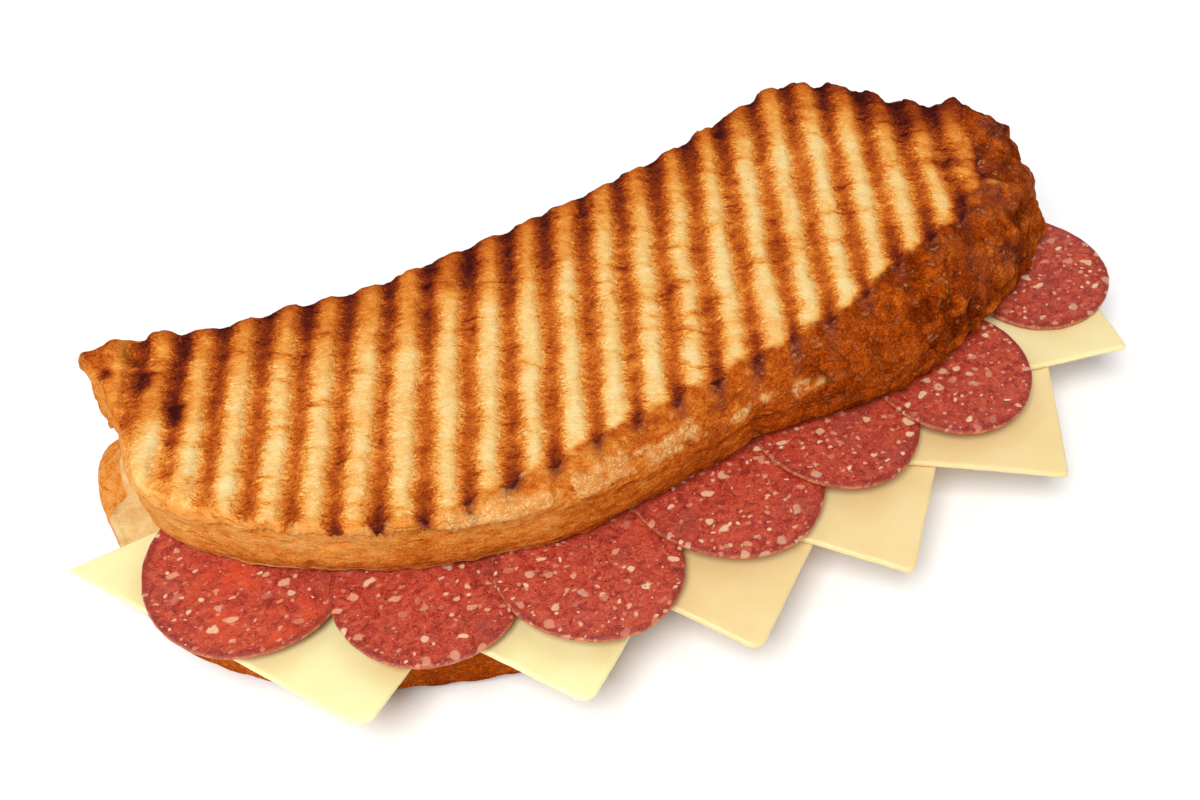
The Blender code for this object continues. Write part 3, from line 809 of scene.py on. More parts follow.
def make_lower_slice():
    """The lower slice's mesh, with the values mark, face, brown, crust and cut, as on the upper one.

    cut is also 1 on a patch of raw crumb at the left end, whose border noise moves. The crust is paler on the
    bulge behind the patch. Noise moves each point along its normal, and nothing goes below the floor.
    """
    points, spine, seam, phase, distance, v = lower_slice_grid()
    around = points.shape[1]
    x, y, z = np.moveaxis(points, -1, 0)
    ragged = 1.3 * layered_noise(points, 6 * MM, 105) + 0.5 * layered_noise(points, 1.8 * MM, 109, 2)
    face = smooth_step(distance - 5 * MM + MM * ragged[:FACE_ROWS], -1.2 * MM, 1.2 * MM)
    mark = 1 - smooth_step(phase, 0.02, 0.42)
    across = -x + 1.8 * MM * layered_noise(points, 6 * MM, 135)
    shift = 2.0 * MM * layered_noise(points, 6 * MM, 137)
    patch = smooth_step(across, 116 * MM, 121 * MM) * smooth_step(y + shift, 11 * MM, 15 * MM)
    patch = patch * (1 - smooth_step(y + shift, 32 * MM, 35 * MM)) * row_values(0, 1, 0, around)
    cut = row_values(0, smooth_step(v, 0.93, 0.98)[:, None], 1, around)
    bulge = smooth_step(y, 30 * MM, 36 * MM) * smooth_step(-x, 95 * MM, 112 * MM)
    crust = 0.56 + 0.10 * layered_noise(points, 12 * MM, 133) + 0.2 * (1 - smooth_step(z, 2 * MM, 8 * MM))
    crust = crust - 0.46 * bulge - 0.18 * smooth_step(-x, 70 * MM, 115 * MM) * (1 - bulge)
    values = {
        "mark": row_values(mark, mark[-1:], 0, around),
        "face": row_values(face, 0, 0, around),
        "brown": 0.25 + 0.15 * layered_noise(points, 26 * MM, 131),
        "crust": crust,
        "cut": np.maximum(cut, patch * smooth_step(z + 0.6 * shift, 7.5 * MM, 11 * MM)),
    }
    blister = 0.25 * layered_noise(points, 6 * MM, 161) + 0.10 * layered_noise(points, 1.6 * MM, 165, 2)
    lump = MM * blister * row_values(0.3, 1, 0.2, around)
    moved = points + out_of_slice(points, -1) * lump[..., None]
    moved[..., 2] += 0.9 * MM * patch * layered_noise(points, 3 * MM, 171)
    moved[..., 2] = np.maximum(moved[..., 2], 0)
    return close_grid("lower_slice", moved, spine, seam, values)


def sheet_grid(name, rim, centre, level, thick, waves, values):
    """A thin slice as a closed mesh: rows from its centre out to the rim, round the edge and back below.

    The top is the level less the common lean and the droop, plus the waves. The edge is half an ellipse as
    high as the slice is thick. Each row is the rim drawn in towards the centre.
    """
    around = len(rim)
    inner = 1 - (1 - np.linspace(0, 1, SHEET_ROWS)[1:]) ** 1.5
    turn = np.linspace(0, math.pi, SHEET_EDGE_ROWS)
    edge_in = thick / 2 * (1 - np.sin(turn))
    reach = np.hypot(*(rim - centre).T)
    rows = [centre + (rim - centre) * (t * (1 - thick / 2 / reach))[:, None] for t in inner[:-1]]
    depth = [np.zeros(around)] * len(rows)
    for away, angle in zip(edge_in, turn):
        rows.append(centre + (rim - centre) * (1 - away / reach)[:, None])
        depth.append(np.full(around, thick / 2 * (1 - math.cos(angle))))
    for t in inner[-2::-4]:
        rows.append(centre + (rim - centre) * (t * (1 - thick / 2 / reach))[:, None])
        depth.append(np.full(around, thick))
    flat, depth = np.array(rows), np.array(depth)
    height = level - LEAN * flat[..., 0] - droop(flat[..., 1]) - depth + waves(flat)
    points = np.concatenate([flat, height[..., None]], -1)
    from_rim = np.hypot(*np.moveaxis(rim - flat, -1, 0))
    return close_grid(name, points, centre[None], np.zeros(around, int), {"rim": from_rim, **values(points)})


def rounded_square(place):
    """Outline of a cheese slice: a square whose front corner has its own rounding, the others a small one.

    A corner of radius r is an arc about the point r in from both sides. The outline runs clockwise.
    """
    x, y, turn, front = place
    half = CHEESE_SIDE / 2
    radii = np.array([front, SMALL_CORNER, SMALL_CORNER, SMALL_CORNER]) * MM
    steps = np.linspace(0, math.pi / 2, CORNER_STEPS)
    line = []
    for k, (sx, sy) in enumerate(((-1, -1), (-1, 1), (1, 1), (1, -1))):
        angle = math.pi * (1.5 - 0.5 * k) - steps
        inset = half - radii[k]
        arc = radii[k] * np.array([np.cos(angle), np.sin(angle)])
        line.append(np.column_stack([sx * inset + arc[0], sy * inset + arc[1]]))
    line = np.vstack(line)
    line = even_points(np.vstack([line, line[:1]]))
    turn = math.radians(turn)
    turned = line @ np.array([(math.cos(turn), math.sin(turn)), (-math.sin(turn), math.cos(turn))])
    return turned + (x * MM, y * MM)


def trimmed(rim, centre):
    """The rim drawn in towards the centre as far as the trimmed edge of the first slice."""
    normal = np.array([-math.sin(TRIM_TURN), math.cos(TRIM_TURN)])
    reach = (rim - centre) @ normal
    room = (TRIM_TIP - centre) @ normal
    return centre + (rim - centre) * np.minimum(1, room / np.maximum(reach, 1e-9))[:, None]


def shade_beside_salami(points):
    """Painted warm shade beside the salami: a Gaussian of the distance from the nearest slice."""
    x, y = points[..., 0], points[..., 1]
    away = np.min([np.maximum(np.hypot(x - cx, y - cy) - r, 0) for cx, cy, r in SALAMI_PLACES], axis=0)
    return {"tint": np.exp(-((away / SHADE_REACH) ** 2))}


def pattern_points(places, number):
    """Places made points on a level of the slice's own, so that noise differs from slice to slice."""
    return np.concatenate([places, np.full(places.shape[:-1] + (1,), number * PATTERN_STEP)], -1)


def make_cheese(number, place, level):
    """A cheese slice: a rounded square, gently wavy, with its edge a little uneven."""
    centre = np.array(place[:2]) * MM
    rim = rounded_square(place)
    if number == 1:
        centre = centre - (0, TRIM_BACK)
        rim = trimmed(rim, centre)
    uneven = 0.10 * MM * layered_noise(pattern_points(rim, number), 4 * MM, 200 + number)
    rim = rim + outward(rim) * uneven[:, None]

    def waves(places):
        return 0.06 * MM * layered_noise(pattern_points(places, number), 22 * MM, 210, 2)

    return sheet_grid(f"cheese_slice_{number}", rim, centre, level, CHEESE_THICK, waves, shade_beside_salami)


def make_salami(number, place, level):
    """A salami slice: a disc whose rim wavers by noise and three lobes, and whose faces are faintly wavy."""
    x, y, radius = place
    angle = -np.linspace(0, 2 * math.pi, round(2 * math.pi * radius / SALAMI_STEP), endpoint=False)
    unit = np.column_stack([np.cos(angle), np.sin(angle)])
    seeded = pattern_points(unit * radius, number)
    wobble = 0.22 * layered_noise(seeded, 9 * MM, 300) + 0.10 * layered_noise(seeded, 1.6 * MM, 310, 2)
    wobble = MM * wobble + 0.012 * radius * np.cos(3 * angle + number)
    centre = np.array([x, y])
    rim = centre + unit * (radius + wobble)[:, None]

    def waves(places):
        deep = pattern_points(places, number)
        return MM * (0.05 * layered_noise(deep, 12 * MM, 320, 2) + 0.03 * layered_noise(deep, 2 * MM, 330, 2))

    return sheet_grid(f"salami_slice_{number}", rim, centre, level, SALAMI_THICK, waves, lambda points: {})


class Reading:
    """A number that varies over a surface, on a socket. Signs between readings make Math nodes."""

    def __init__(self, tree, socket):
        self.tree = tree
        self.socket = socket

    def __add__(self, other):
        return maths("ADD", self, other)

    def __sub__(self, other):
        return maths("SUBTRACT", self, other)

    def __rsub__(self, other):
        return maths("SUBTRACT", other, self)

    def __mul__(self, other):
        return maths("MULTIPLY", self, other)

    def __truediv__(self, other):
        return maths("DIVIDE", self, other)

    def __rtruediv__(self, other):
        return maths("DIVIDE", other, self)

    def __abs__(self):
        return maths("ABSOLUTE", self)

    __radd__ = __add__
    __rmul__ = __mul__


def feed(tree, socket, value):
    """Gives an input a value, or links it to the socket or reading that feeds it."""
    value = value.socket if isinstance(value, Reading) else value
    if isinstance(value, bpy.types.NodeSocket):
        tree.links.new(value, socket)
    else:
        socket.default_value = value


def make_node(tree, kind, inputs=None, **settings):
    """Adds a node. An input is named or numbered."""
    node = tree.nodes.new(kind)
    for key, value in settings.items():
        setattr(node, key, value)
    for key, value in (inputs or {}).items():
        feed(tree, node.inputs[key], value)
    return node


def maths(operation, *values):
    """A Math node of these readings and numbers."""
    tree = next(value.tree for value in values if isinstance(value, Reading))
    node = make_node(tree, "ShaderNodeMath", dict(enumerate(values)), operation=operation)
    return Reading(tree, node.outputs[0])


def smooth_range(value, low, high, to_low=0.0, to_high=1.0):
    """The value taken from low and high to two other numbers along 3t^2 - 2t^3, and level beyond them."""
    inputs = {"Value": value, "From Min": low, "From Max": high, "To Min": to_low, "To Max": to_high}
    node = make_node(value.tree, "ShaderNodeMapRange", inputs, interpolation_type="SMOOTHSTEP")
    return Reading(value.tree, node.outputs["Result"])


def noise_value(tree, vector, size, detail=2.0, roughness=0.5, distortion=0.0):
    """Noise from 0 to 1 whose features are about this size."""
    inputs = {"Vector": vector, "Scale": 1 / size}
    inputs |= {"Detail": detail, "Roughness": roughness, "Distortion": distortion}
    return Reading(tree, make_node(tree, "ShaderNodeTexNoise", inputs).outputs["Fac"])


def mix_colours(factor, first, second):
    """The first colour where the factor is 0, and the second where it is 1."""
    inputs = {"Factor": factor, 6: first, 7: second}
    return make_node(factor.tree, "ShaderNodeMix", inputs, data_type="RGBA", clamp_factor=True).outputs[2]


def colour_ramp(factor, stops):
    """A ramp through these stops of place and colour."""
    node = make_node(factor.tree, "ShaderNodeValToRGB", {"Fac": factor})
    elements = node.color_ramp.elements
    while len(elements) < len(stops):
        elements.new(0.5)
    for element, (place, colour) in zip(elements, stops):
        element.position = place
        element.color = colour
    return node.outputs["Color"]


def mapped(tree, vector, kind="POINT", **values):
    """The vector through a Mapping node with this Location, Rotation and Scale."""
    return make_node(tree, "ShaderNodeMapping", {"Vector": vector, **values}, vector_type=kind).outputs[0]


def warped(tree, vector, size, amount, detail=2.0):
    """The vector moved by noise of this feature size, by up to about half the amount along each axis."""
    wave = make_node(tree, "ShaderNodeTexNoise", {"Vector": vector, "Scale": 1 / size, "Detail": detail})
    steps = (("SUBTRACT", {1: (0.5, 0.5, 0.5)}), ("SCALE", {"Scale": amount}), ("ADD", {1: vector}))
    moved = wave.outputs["Color"]
    for operation, inputs in steps:
        moved = make_node(tree, "ShaderNodeVectorMath", {0: moved, **inputs}, operation=operation).outputs[0]
    return moved


def seen_as(red, green, blue):
    """The base colour that shows as these screen values, up to 255, where the stage's light falls on it."""
    values = np.array([red, green, blue]) / 255
    linear = np.where(values <= 0.04045, values / 12.92, ((values + 0.055) / 1.055) ** 2.4)
    return (*(linear / BRIGHTNESS).tolist(), 1.0)


def start_group(name, inputs, outputs):
    """A shader node group with a vector and these numbers as inputs, and its input and output nodes."""
    tree = bpy.data.node_groups.new(name, "ShaderNodeTree")
    tree.interface.new_socket("Vector", in_out="INPUT", socket_type="NodeSocketVector")
    for in_out, labels in (("INPUT", inputs), ("OUTPUT", outputs)):
        for label in labels:
            tree.interface.new_socket(label, in_out=in_out, socket_type="NodeSocketFloat")
    return tree, tree.nodes.new("NodeGroupInput").outputs, tree.nodes.new("NodeGroupOutput").inputs


def use_group(tree, group, **inputs):
    """Places a group and returns its outputs as readings, under their names in small letters."""
    node = make_node(tree, "ShaderNodeGroup", node_tree=group)
    for key, value in inputs.items():
        feed(tree, node.inputs[key.replace("_", " ")], value)
    return {socket.name.lower(): Reading(tree, socket) for socket in node.outputs}


def speckle_group(name, dimensions):
    """Scattered spots: cells of a Voronoi pattern, of which a share holds a spot of random size and shape.

    Core rises from 0 at a spot's edge to 1 at its middle, and Tone is a random value for each spot.
    """
    labels = ("Spacing", "Share", "Spot Size", "Ragged")
    tree, given, made = start_group(name, labels, ("Mask", "Core", "Tone"))
    spacing, share, spot_size, ragged = (Reading(tree, given[label]) for label in labels)
    moved = warped(tree, given["Vector"], spacing / 1.1, ragged * spacing, 1.5)
    inputs = {"Vector": moved, "Scale": 1 / spacing, "Randomness": 0.65}
    cells = make_node(tree, "ShaderNodeTexVoronoi", inputs, voronoi_dimensions=dimensions).outputs
    parts = make_node(tree, "ShaderNodeSeparateColor", {"Color": cells["Color"]}).outputs
    first, second = Reading(tree, parts[0]), Reading(tree, parts[1])
    ratio = Reading(tree, cells["Distance"]) / (smooth_range(second, 0.0, 1.0, 0.30, 1.0) * spot_size)
    feed(tree, made["Mask"], smooth_range(ratio, 1.08, 0.52) * maths("LESS_THAN", first, share))
    feed(tree, made["Core"], smooth_range(ratio, 1.0, 0.3))
    feed(tree, made["Tone"], parts[2])
    return tree


def fibre_group():
    """Fuzz of toasted crumb: fine noise drawn out across the ribs at two slants, hairs, grain and clouds.

    A hair is where one of the slanted noises crosses its mean. Bar is a coarser noise, level across the ribs.
    """
    tree, given, made = start_group("Crumb fibre", (), ("Fibre", "Hair", "Grain", "Cloud", "Bar"))
    vector = given["Vector"]
    across = RIB_ANGLE - math.pi / 2
    slanted = []
    for slant, shift in ((math.radians(24), 0.0), (math.radians(-20), 1.0)):
        turned = mapped(
            tree, vector, "TEXTURE",
            Location=(shift, 0, 0), Rotation=(0, 0, across + slant), Scale=(1.7, 0.75, 1.0),
        )
        slanted.append(noise_value(tree, turned, 0.85 * MM, 4.0, 0.62, 1.1))
    side = smooth_range(noise_value(tree, vector, 4 * MM), 0.42, 0.58)
    fibre = make_node(tree, "ShaderNodeMix", {"Factor": side, "A": slanted[0], "B": slanted[1]})
    hair = maths("MAXIMUM", *(smooth_range(abs(noise - 0.5), 0.022, 0.004) for noise in slanted))
    sparse = smooth_range(noise_value(tree, vector, 2.2 * MM), 0.46, 0.58)
    level = mapped(tree, vector, "TEXTURE", Rotation=(0, 0, across), Scale=(2.4, 0.8, 1.0))
    feed(tree, made["Fibre"], fibre.outputs["Result"])
    feed(tree, made["Hair"], hair * sparse)
    feed(tree, made["Grain"], noise_value(tree, vector, 0.5 * MM, 3.0, 0.7))
    feed(tree, made["Cloud"], noise_value(tree, vector, 5.5 * MM, 3.0, 0.6))
    feed(tree, made["Bar"], noise_value(tree, level, 4.5 * MM, 3.0, 0.6, 0.4))
    return tree


def voronoi_edge(tree, vector, size):
    """Distance to the nearest edge between the cells of a Voronoi pattern, as a share of their size."""
    inputs = {"Vector": vector, "Scale": 1 / size}
    node = make_node(tree, "ShaderNodeTexVoronoi", inputs, feature="DISTANCE_TO_EDGE")
    return Reading(tree, node.outputs["Distance"])


def skin_group():
    """Baked skin: level streaks, thin cracks, long creases, fine crackle, broad tone, and plates with gaps.

    Streaks are noise squeezed in height. A crack is where a noise crosses its mean, and a crease where the
    height, slanted along X and bent by noise, passes a whole number of spacings. Crackle lies between the
    small cells of a Voronoi pattern. Plate is a random tone for each large cell, and Gap lies between these.
    """
    labels = ("Streak", "Crack", "Crease", "Crackle", "Coarse", "Plate", "Gap")
    tree, given, made = start_group("Baked skin", (), labels)
    vector = given["Vector"]
    flat = mapped(tree, vector, Scale=(1.0, 1.0, 2.6))
    feed(tree, made["Streak"], noise_value(tree, flat, 2.0 * MM, 5.0, 0.68, 0.6))
    line = abs(noise_value(tree, flat, 9 * MM, 4.0, 0.62, 0.4) - 0.5)
    patch = smooth_range(noise_value(tree, vector, 7 * MM), 0.45, 0.60)
    feed(tree, made["Crack"], smooth_range(line, 0.008, 0.001) * patch)

    inputs = {0: vector, 1: tuple(part / CREASE_SPACING for part in (0.20, -0.05, 1))}
    slant = make_node(tree, "ShaderNodeVectorMath", inputs, operation="DOT_PRODUCT")
    bent = Reading(tree, slant.outputs["Value"]) + 1.8 * noise_value(tree, vector, 11 * MM, 3.0, 0.6)
    broken = smooth_range(noise_value(tree, vector, 9 * MM, 3.0, 0.6), 0.46, 0.56)
    feed(tree, made["Crease"], smooth_range(abs(maths("FRACT", bent) - 0.5), 0.035, 0.006) * broken)

    upright = mapped(tree, vector, Scale=(1.5, 1.5, 0.8))
    small_edge = voronoi_edge(tree, warped(tree, upright, 1.2 * MM, 1.6 * MM, 3.0), 1.15 * MM)
    whole = smooth_range(noise_value(tree, vector, 1.6 * MM), 0.42, 0.56)
    feed(tree, made["Crackle"], smooth_range(small_edge, 0.12, 0.0) * whole)
    feed(tree, made["Coarse"], noise_value(tree, vector, 2.6 * MM, 3.0, 0.65))

    torn = warped(tree, vector, 3.0 * MM, 3.6 * MM, 4.0)
    plates = make_node(tree, "ShaderNodeTexVoronoi", {"Vector": torn, "Scale": 1 / PLATE_SIZE})
    tone = make_node(tree, "ShaderNodeSeparateColor", {"Color": plates.outputs["Color"]}).outputs[0]
    feed(tree, made["Plate"], tone)
    open_gap = smooth_range(noise_value(tree, vector, 5 * MM), 0.44, 0.58)
    feed(tree, made["Gap"], smooth_range(voronoi_edge(tree, torn, PLATE_SIZE), 0.09, 0.0) * open_gap)
    return tree


def attribute_value(tree, name):
    """A point attribute of the mesh."""
    return Reading(tree, make_node(tree, "ShaderNodeAttribute", attribute_name=name).outputs["Fac"])


def start_material(name):
    """An empty material: its tree, its Principled shader's inputs and the Object coordinates."""
    material = bpy.data.materials.new(name)
    material.use_nodes = True
    tree = material.node_tree
    place = tree.nodes.new("ShaderNodeTexCoord").outputs["Object"]
    return material, tree, tree.nodes["Principled BSDF"].inputs, place


def finish_shader(tree, shader, colour, roughness, height, strength, distance):
    """Feeds the colour, the roughness and a bump of this height, strength and distance to the shader."""
    bump = make_node(tree, "ShaderNodeBump", {"Strength": strength, "Distance": distance, "Height": height})
    feed(tree, shader["Base Color"], colour)
    feed(tree, shader["Roughness"], roughness)
    feed(tree, shader["Normal"], bump.outputs["Normal"])


def set_depth_light(shader, weight, radius, scale):
    """Lets light into the surface by this weight, as far as the scale times the radius of each colour."""
    shader["Subsurface Weight"].default_value = weight
    shader["Subsurface Radius"].default_value = radius
    shader["Subsurface Scale"].default_value = scale


def bread_readings(tree, place, groups):
    """All that the bread's finish reads, by name: the two groups' values, the mesh's own, and their mixes.

    fray roughens the border of every mark, rugged is 1 where the crust is dark, and tan 1 where it is pale.
    The pale skin on the lip, partly a painted sheen, covers it plate by plate, and lets the crust through at
    gaps and crackle.
    """
    found = use_group(tree, groups["fibre"], Vector=place) | use_group(tree, groups["skin"], Vector=place)
    for key in ("mark", "face", "brown", "crust", "cut", "lip", "char"):
        found[key] = attribute_value(tree, key)
    bread = SimpleNamespace(**found)
    bread.fray = 1.5 * bread.fibre + 0.45 * bread.grain - 0.97
    bread.rugged = smooth_range(bread.crust, 0.30, 0.62)
    bread.tan = smooth_range(bread.crust, 0.34, 0.14)
    whole = smooth_range(maths("MAXIMUM", bread.gap, bread.crackle), 0.8, 0.1, 0.35)
    covered = smooth_range(0.7 * bread.plate + bread.lip, 0.55, 1.05)
    bread.glaze = covered * whole * smooth_range(bread.lip, 0.1, 0.5)
    return bread


def toast_colour(bread, settings):
    """Grilled crumb: a ramp over the groove mask, the browning, fibres, some cloud and bars, and hairs.

    Fibres count most where the mask is half, and hairs are dark on pale crumb and pale on a mark.
    """
    strength = 1.7 * bread.mark * (1 - bread.mark) + 0.20 * bread.mark + 0.30
    level = 0.46 * bread.mark + bread.brown + bread.fray * strength
    level = level + 0.26 * bread.cloud + 0.36 * bread.bar - 0.215
    level = level + smooth_range(bread.bar, 0.60, 0.72, 0.0, 0.14) + bread.hair * (0.10 - 0.22 * bread.mark)
    return colour_ramp(level, (
        (0.0, settings.crumb_colour), (0.10, seen_as(255, 212, 136)), (0.20, seen_as(254, 188, 102)),
        (0.31, seen_as(242, 156, 66)), (0.42, settings.golden_colour), (0.54, seen_as(194, 92, 30)),
        (0.67, settings.mark_colour), (0.79, seen_as(122, 46, 22)), (0.90, seen_as(94, 32, 22)),
        (1.0, settings.burnt_colour),
    ))


def crust_colour(bread, settings):
    """Crust: a ramp over its darkness with noise, plates, gaps, creases and cracks, then char and the pale
    lip.

    A pale skin lies on the lip, partly a painted sheen, with painted glints where two noises are high. Dark
    crust has small painted highlights.
    """
    detail = 0.7 * bread.coarse + 0.9 * bread.grain + 1.1 * bread.streak - 1.35
    detail = detail + (0.18 * bread.plate - 0.09) * bread.rugged
    tone = bread.crust + detail * smooth_range(bread.crust, 0.0, 0.5, 0.55, 1.0)
    tone = tone + 0.12 * bread.gap * bread.rugged + 0.20 * bread.crease * bread.tan
    tone = tone + bread.crack * (0.22 - 0.14 * bread.tan)
    colour = colour_ramp(tone, (
        (0.0, settings.tan_colour), (0.18, seen_as(234, 142, 56)), (0.36, seen_as(214, 108, 32)),
        (0.54, seen_as(188, 82, 18)), (0.74, seen_as(152, 58, 8)), (1.0, settings.crust_colour),
    ))
    tint = mix_colours(smooth_range(bread.streak, 0.46, 0.70), seen_as(118, 50, 36), seen_as(198, 112, 72))
    colour = mix_colours(bread.char * smooth_range(bread.coarse, 0.30, 0.60, 0.4, 1.0), colour, tint)
    # Painted glints: bright warm flecks on the lip's pale skin
    painted_glint = smooth_range(0.8 * bread.coarse + bread.grain, 0.82, 0.98)
    glazed = mix_colours(painted_glint, seen_as(236, 146, 74), seen_as(255, 206, 132))
    colour = mix_colours(0.85 * bread.glaze, colour, glazed)
    # Painted highlights: small light flashes on the dark crust
    painted_flash = smooth_range(0.9 * bread.coarse + bread.streak, 1.00, 1.30)
    painted_flash = painted_flash * smooth_range(bread.crust, 0.3, 0.6, 0.0, 0.6)
    return mix_colours(painted_flash, colour, seen_as(238, 150, 84))


def skin_height(bread):
    """Height of the crust's bump: noise about a mean of 0.7, then plates, gaps, cracks and creases."""
    height = 1.5 * bread.streak + 1.6 * bread.coarse + bread.grain - 2.05
    height = height * smooth_range(bread.crust, 0.0, 0.4, 0.6, 1.1) + 0.7
    height = height + 0.7 * bread.rugged * (bread.plate - bread.gap) - 0.4 * bread.crack
    return height - 0.9 * bread.crease * bread.tan - 0.15 * bread.crackle * bread.lip + 0.2 * bread.glaze


def bread_material(name, settings, groups):
    """Toasted bread: grilled crumb on the face, crust beyond a frayed border, and raw crumb on the cut.

    Small dark pits lie on all of it. The crust alone has a slight sheen, on its lip and in patches.
    """
    material, tree, shader, place = start_material(name)
    bread = bread_readings(tree, place, groups)
    edge = smooth_range(bread.face + 0.5 * bread.fray, 0.2, 0.8)
    colour = mix_colours(edge, crust_colour(bread, settings), toast_colour(bread, settings))
    raw = mix_colours(smooth_range(bread.cloud, 0.3, 0.7), seen_as(252, 216, 150), seen_as(234, 182, 112))
    colour = mix_colours(bread.cut, colour, raw)
    pits = use_group(
        tree, groups["speckle"], Vector=place, Spacing=3.4 * MM, Share=0.14, Spot_Size=0.10, Ragged=0.2
    )
    colour = mix_colours(pits["mask"], colour, seen_as(70, 34, 20))

    crumbly = maths("MAXIMUM", edge, bread.cut)
    shiny = smooth_range(bread.coarse, 0.54, 0.66) * smooth_range(bread.crust, 0.05, 0.5)
    shiny = maths("MAXIMUM", shiny, bread.lip) * (1 - crumbly)
    crumb_height = 0.9 * bread.fibre + 0.5 * bread.grain
    height = make_node(tree, "ShaderNodeMix", {"Factor": crumbly, "A": skin_height(bread), "B": crumb_height})
    finish_shader(tree, shader, colour, 0.75 - 0.20 * shiny, height.outputs["Result"], 0.8, 0.5 * MM)
    feed(tree, shader["Coat Weight"], 0.03 * shiny)
    shader["Specular IOR Level"].default_value = 0.0
    shader["Coat Roughness"].default_value = 0.35
    return material


def cheese_material(number, colour, groups):
    """Cheese: smooth and faintly clouded, painted warm shade beside the salami, and a few fine specks."""
    material, tree, shader, place = start_material(f"cheese_finish_{number}")
    place = mapped(tree, place, Location=(0.3 * number, 0, 0))
    cloud = noise_value(tree, place, 14 * MM, 3.0, 0.55)
    deeper = (colour[0] * 0.97, colour[1] * 0.93, colour[2] * 0.85, 1.0)
    shade = mix_colours(smooth_range(cloud, 0.35, 0.75), colour, deeper)
    # Painted shade: a warmer, darker cream on the cheese beside the salami
    tint = attribute_value(tree, "tint") * smooth_range(cloud, 0.2, 0.7, 0.2, 0.45)
    shade = mix_colours(tint, shade, seen_as(234, 198, 136))
    specks = use_group(
        tree, groups["speckle"], Vector=place, Spacing=6 * MM, Share=0.30, Spot_Size=0.04, Ragged=0.1
    )
    shade = mix_colours(0.6 * specks["mask"], shade, seen_as(150, 110, 60))
    fine = noise_value(tree, place, 1.1 * MM, 3.0, 0.6)
    finish_shader(tree, shader, shade, smooth_range(fine, 0.2, 0.8, 0.34, 0.46), fine, 0.18, 0.2 * MM)
    set_depth_light(shader, 0.25, (1.0, 0.8, 0.35), 2.5 * MM)
    return material


def meat_colour(number, settings, rim, meat_noise, fine, cloud):
    """Lean meat: a ramp over two noises, greyer and redder patches, and a dry ring within the rim.

    Every slice is a little orange in patches, and the first one much more, as light shines through it.
    """
    meat = colour_ramp(0.5 * fine + 0.9 * meat_noise, (
        (0.46, seen_as(112, 26, 20)), (0.56, settings.dark_meat), (0.68, settings.meat),
        (0.86, settings.light_meat),
    ))
    meat = mix_colours(smooth_range(cloud, 0.54, 0.74, 0.0, 0.45), meat, seen_as(156, 70, 62))
    glow = smooth_range(cloud, 0.48, 0.30, 0.0, settings.glow if number == 1 else FAINT_GLOW)
    meat = mix_colours(glow, meat, seen_as(232, 84, 42))
    ring = smooth_range(rim + 2.4 * MM * meat_noise - 1.2 * MM, 0.3 * MM, 2.6 * MM, 0.7, 0.0)
    return mix_colours(ring, meat, settings.dark_meat)


def fat_colour(inside, large, settings):
    """A large piece of fat: pink and thin at its edge, and in its core a tone of its own, mostly cream."""
    core = colour_ramp(large["tone"], (
        (0.0, seen_as(218, 128, 100)), (0.35, settings.fat), (0.75, seen_as(250, 214, 172)),
        (1.0, seen_as(196, 124, 112)),
    ))
    ripe = smooth_range(1.6 * inside + large["core"], 0.85, 1.45)
    return mix_colours(ripe, seen_as(206, 100, 76), core)


def salami_material(number, settings, groups):
    """Salami: mottled meat with pieces of fat in three sizes, ground pepper, a darker rim and a thin skin."""
    material, tree, shader, place = start_material(f"salami_finish_{number}")
    turned = {"Location": (0, 0.3 * number, 0), "Rotation": (0, 0, 1.3 * number), "Scale": (1.0, 1.25, 1.0)}
    place = mapped(tree, place, **turned)
    rim = attribute_value(tree, "rim")
    meat_noise = noise_value(tree, place, 2.4 * MM, 5.0, 0.68, 0.8)
    cloud = noise_value(tree, place, 11 * MM, 3.0, 0.6)
    fine = noise_value(tree, place, 0.45 * MM, 3.0, 0.7)
    meat = meat_colour(number, settings, rim, meat_noise, fine, cloud)

    large, middle, small, pepper = (
        use_group(tree, groups["inlay"], Vector=place, **dict(zip(INLAY_INPUTS, values))) for values in INLAYS
    )
    shade = mix_colours(0.45 * small["mask"], meat, seen_as(228, 130, 100))
    middle_tone = colour_ramp(middle["tone"], (
        (0.0, seen_as(206, 98, 74)), (0.6, seen_as(230, 146, 112)), (1.0, seen_as(250, 212, 172)),
    ))
    cover = middle["mask"] * smooth_range(middle["core"], 0.0, 0.8, 0.0, 0.95)
    shade = mix_colours(cover, shade, middle_tone)
    inside = noise_value(tree, place, 0.6 * MM, 4.0, 0.7)
    clear = smooth_range(maths("FRACT", 7.3 * large["tone"]), 0.0, 0.7, 0.45, 0.95)
    cover = large["mask"] * clear * smooth_range(large["core"], 0.0, 0.35, 0.2, 1.0)
    shade = mix_colours(cover, shade, fat_colour(inside, large, settings))
    shade = mix_colours(pepper["mask"], shade, seen_as(46, 18, 14))
    skin = smooth_range(rim - 0.7 * MM * fine, 0.0, -0.25 * MM)
    shade = mix_colours(skin * smooth_range(meat_noise, 0.40, 0.62, 0.25, 0.9), shade, settings.skin)

    height = fine - 0.5 * large["mask"] + 1.4 * meat_noise
    finish_shader(tree, shader, shade, smooth_range(fine, 0.3, 0.75, 0.26, 0.48), height, 0.6, 0.35 * MM)
    set_depth_light(shader, 0.12, (1.0, 0.3, 0.2), 1.5 * MM)
    return material


def shared_groups():
    """The node groups that several materials use, made once."""
    made = {group.name: group for group in bpy.data.node_groups}
    return {
        "speckle": made.get("Speckle") or speckle_group("Speckle", "3D"),
        "inlay": made.get("Inlay") or speckle_group("Inlay", "2D"),
        "fibre": made.get("Crumb fibre") or fibre_group(),
        "skin": made.get("Baked skin") or skin_group(),
    }


def colour_property(name, description, colour):
    """A colour in a settings group."""
    return FloatVectorProperty(
        name=name, description=description, subtype="COLOR", size=4, min=0, max=1, default=colour
    )


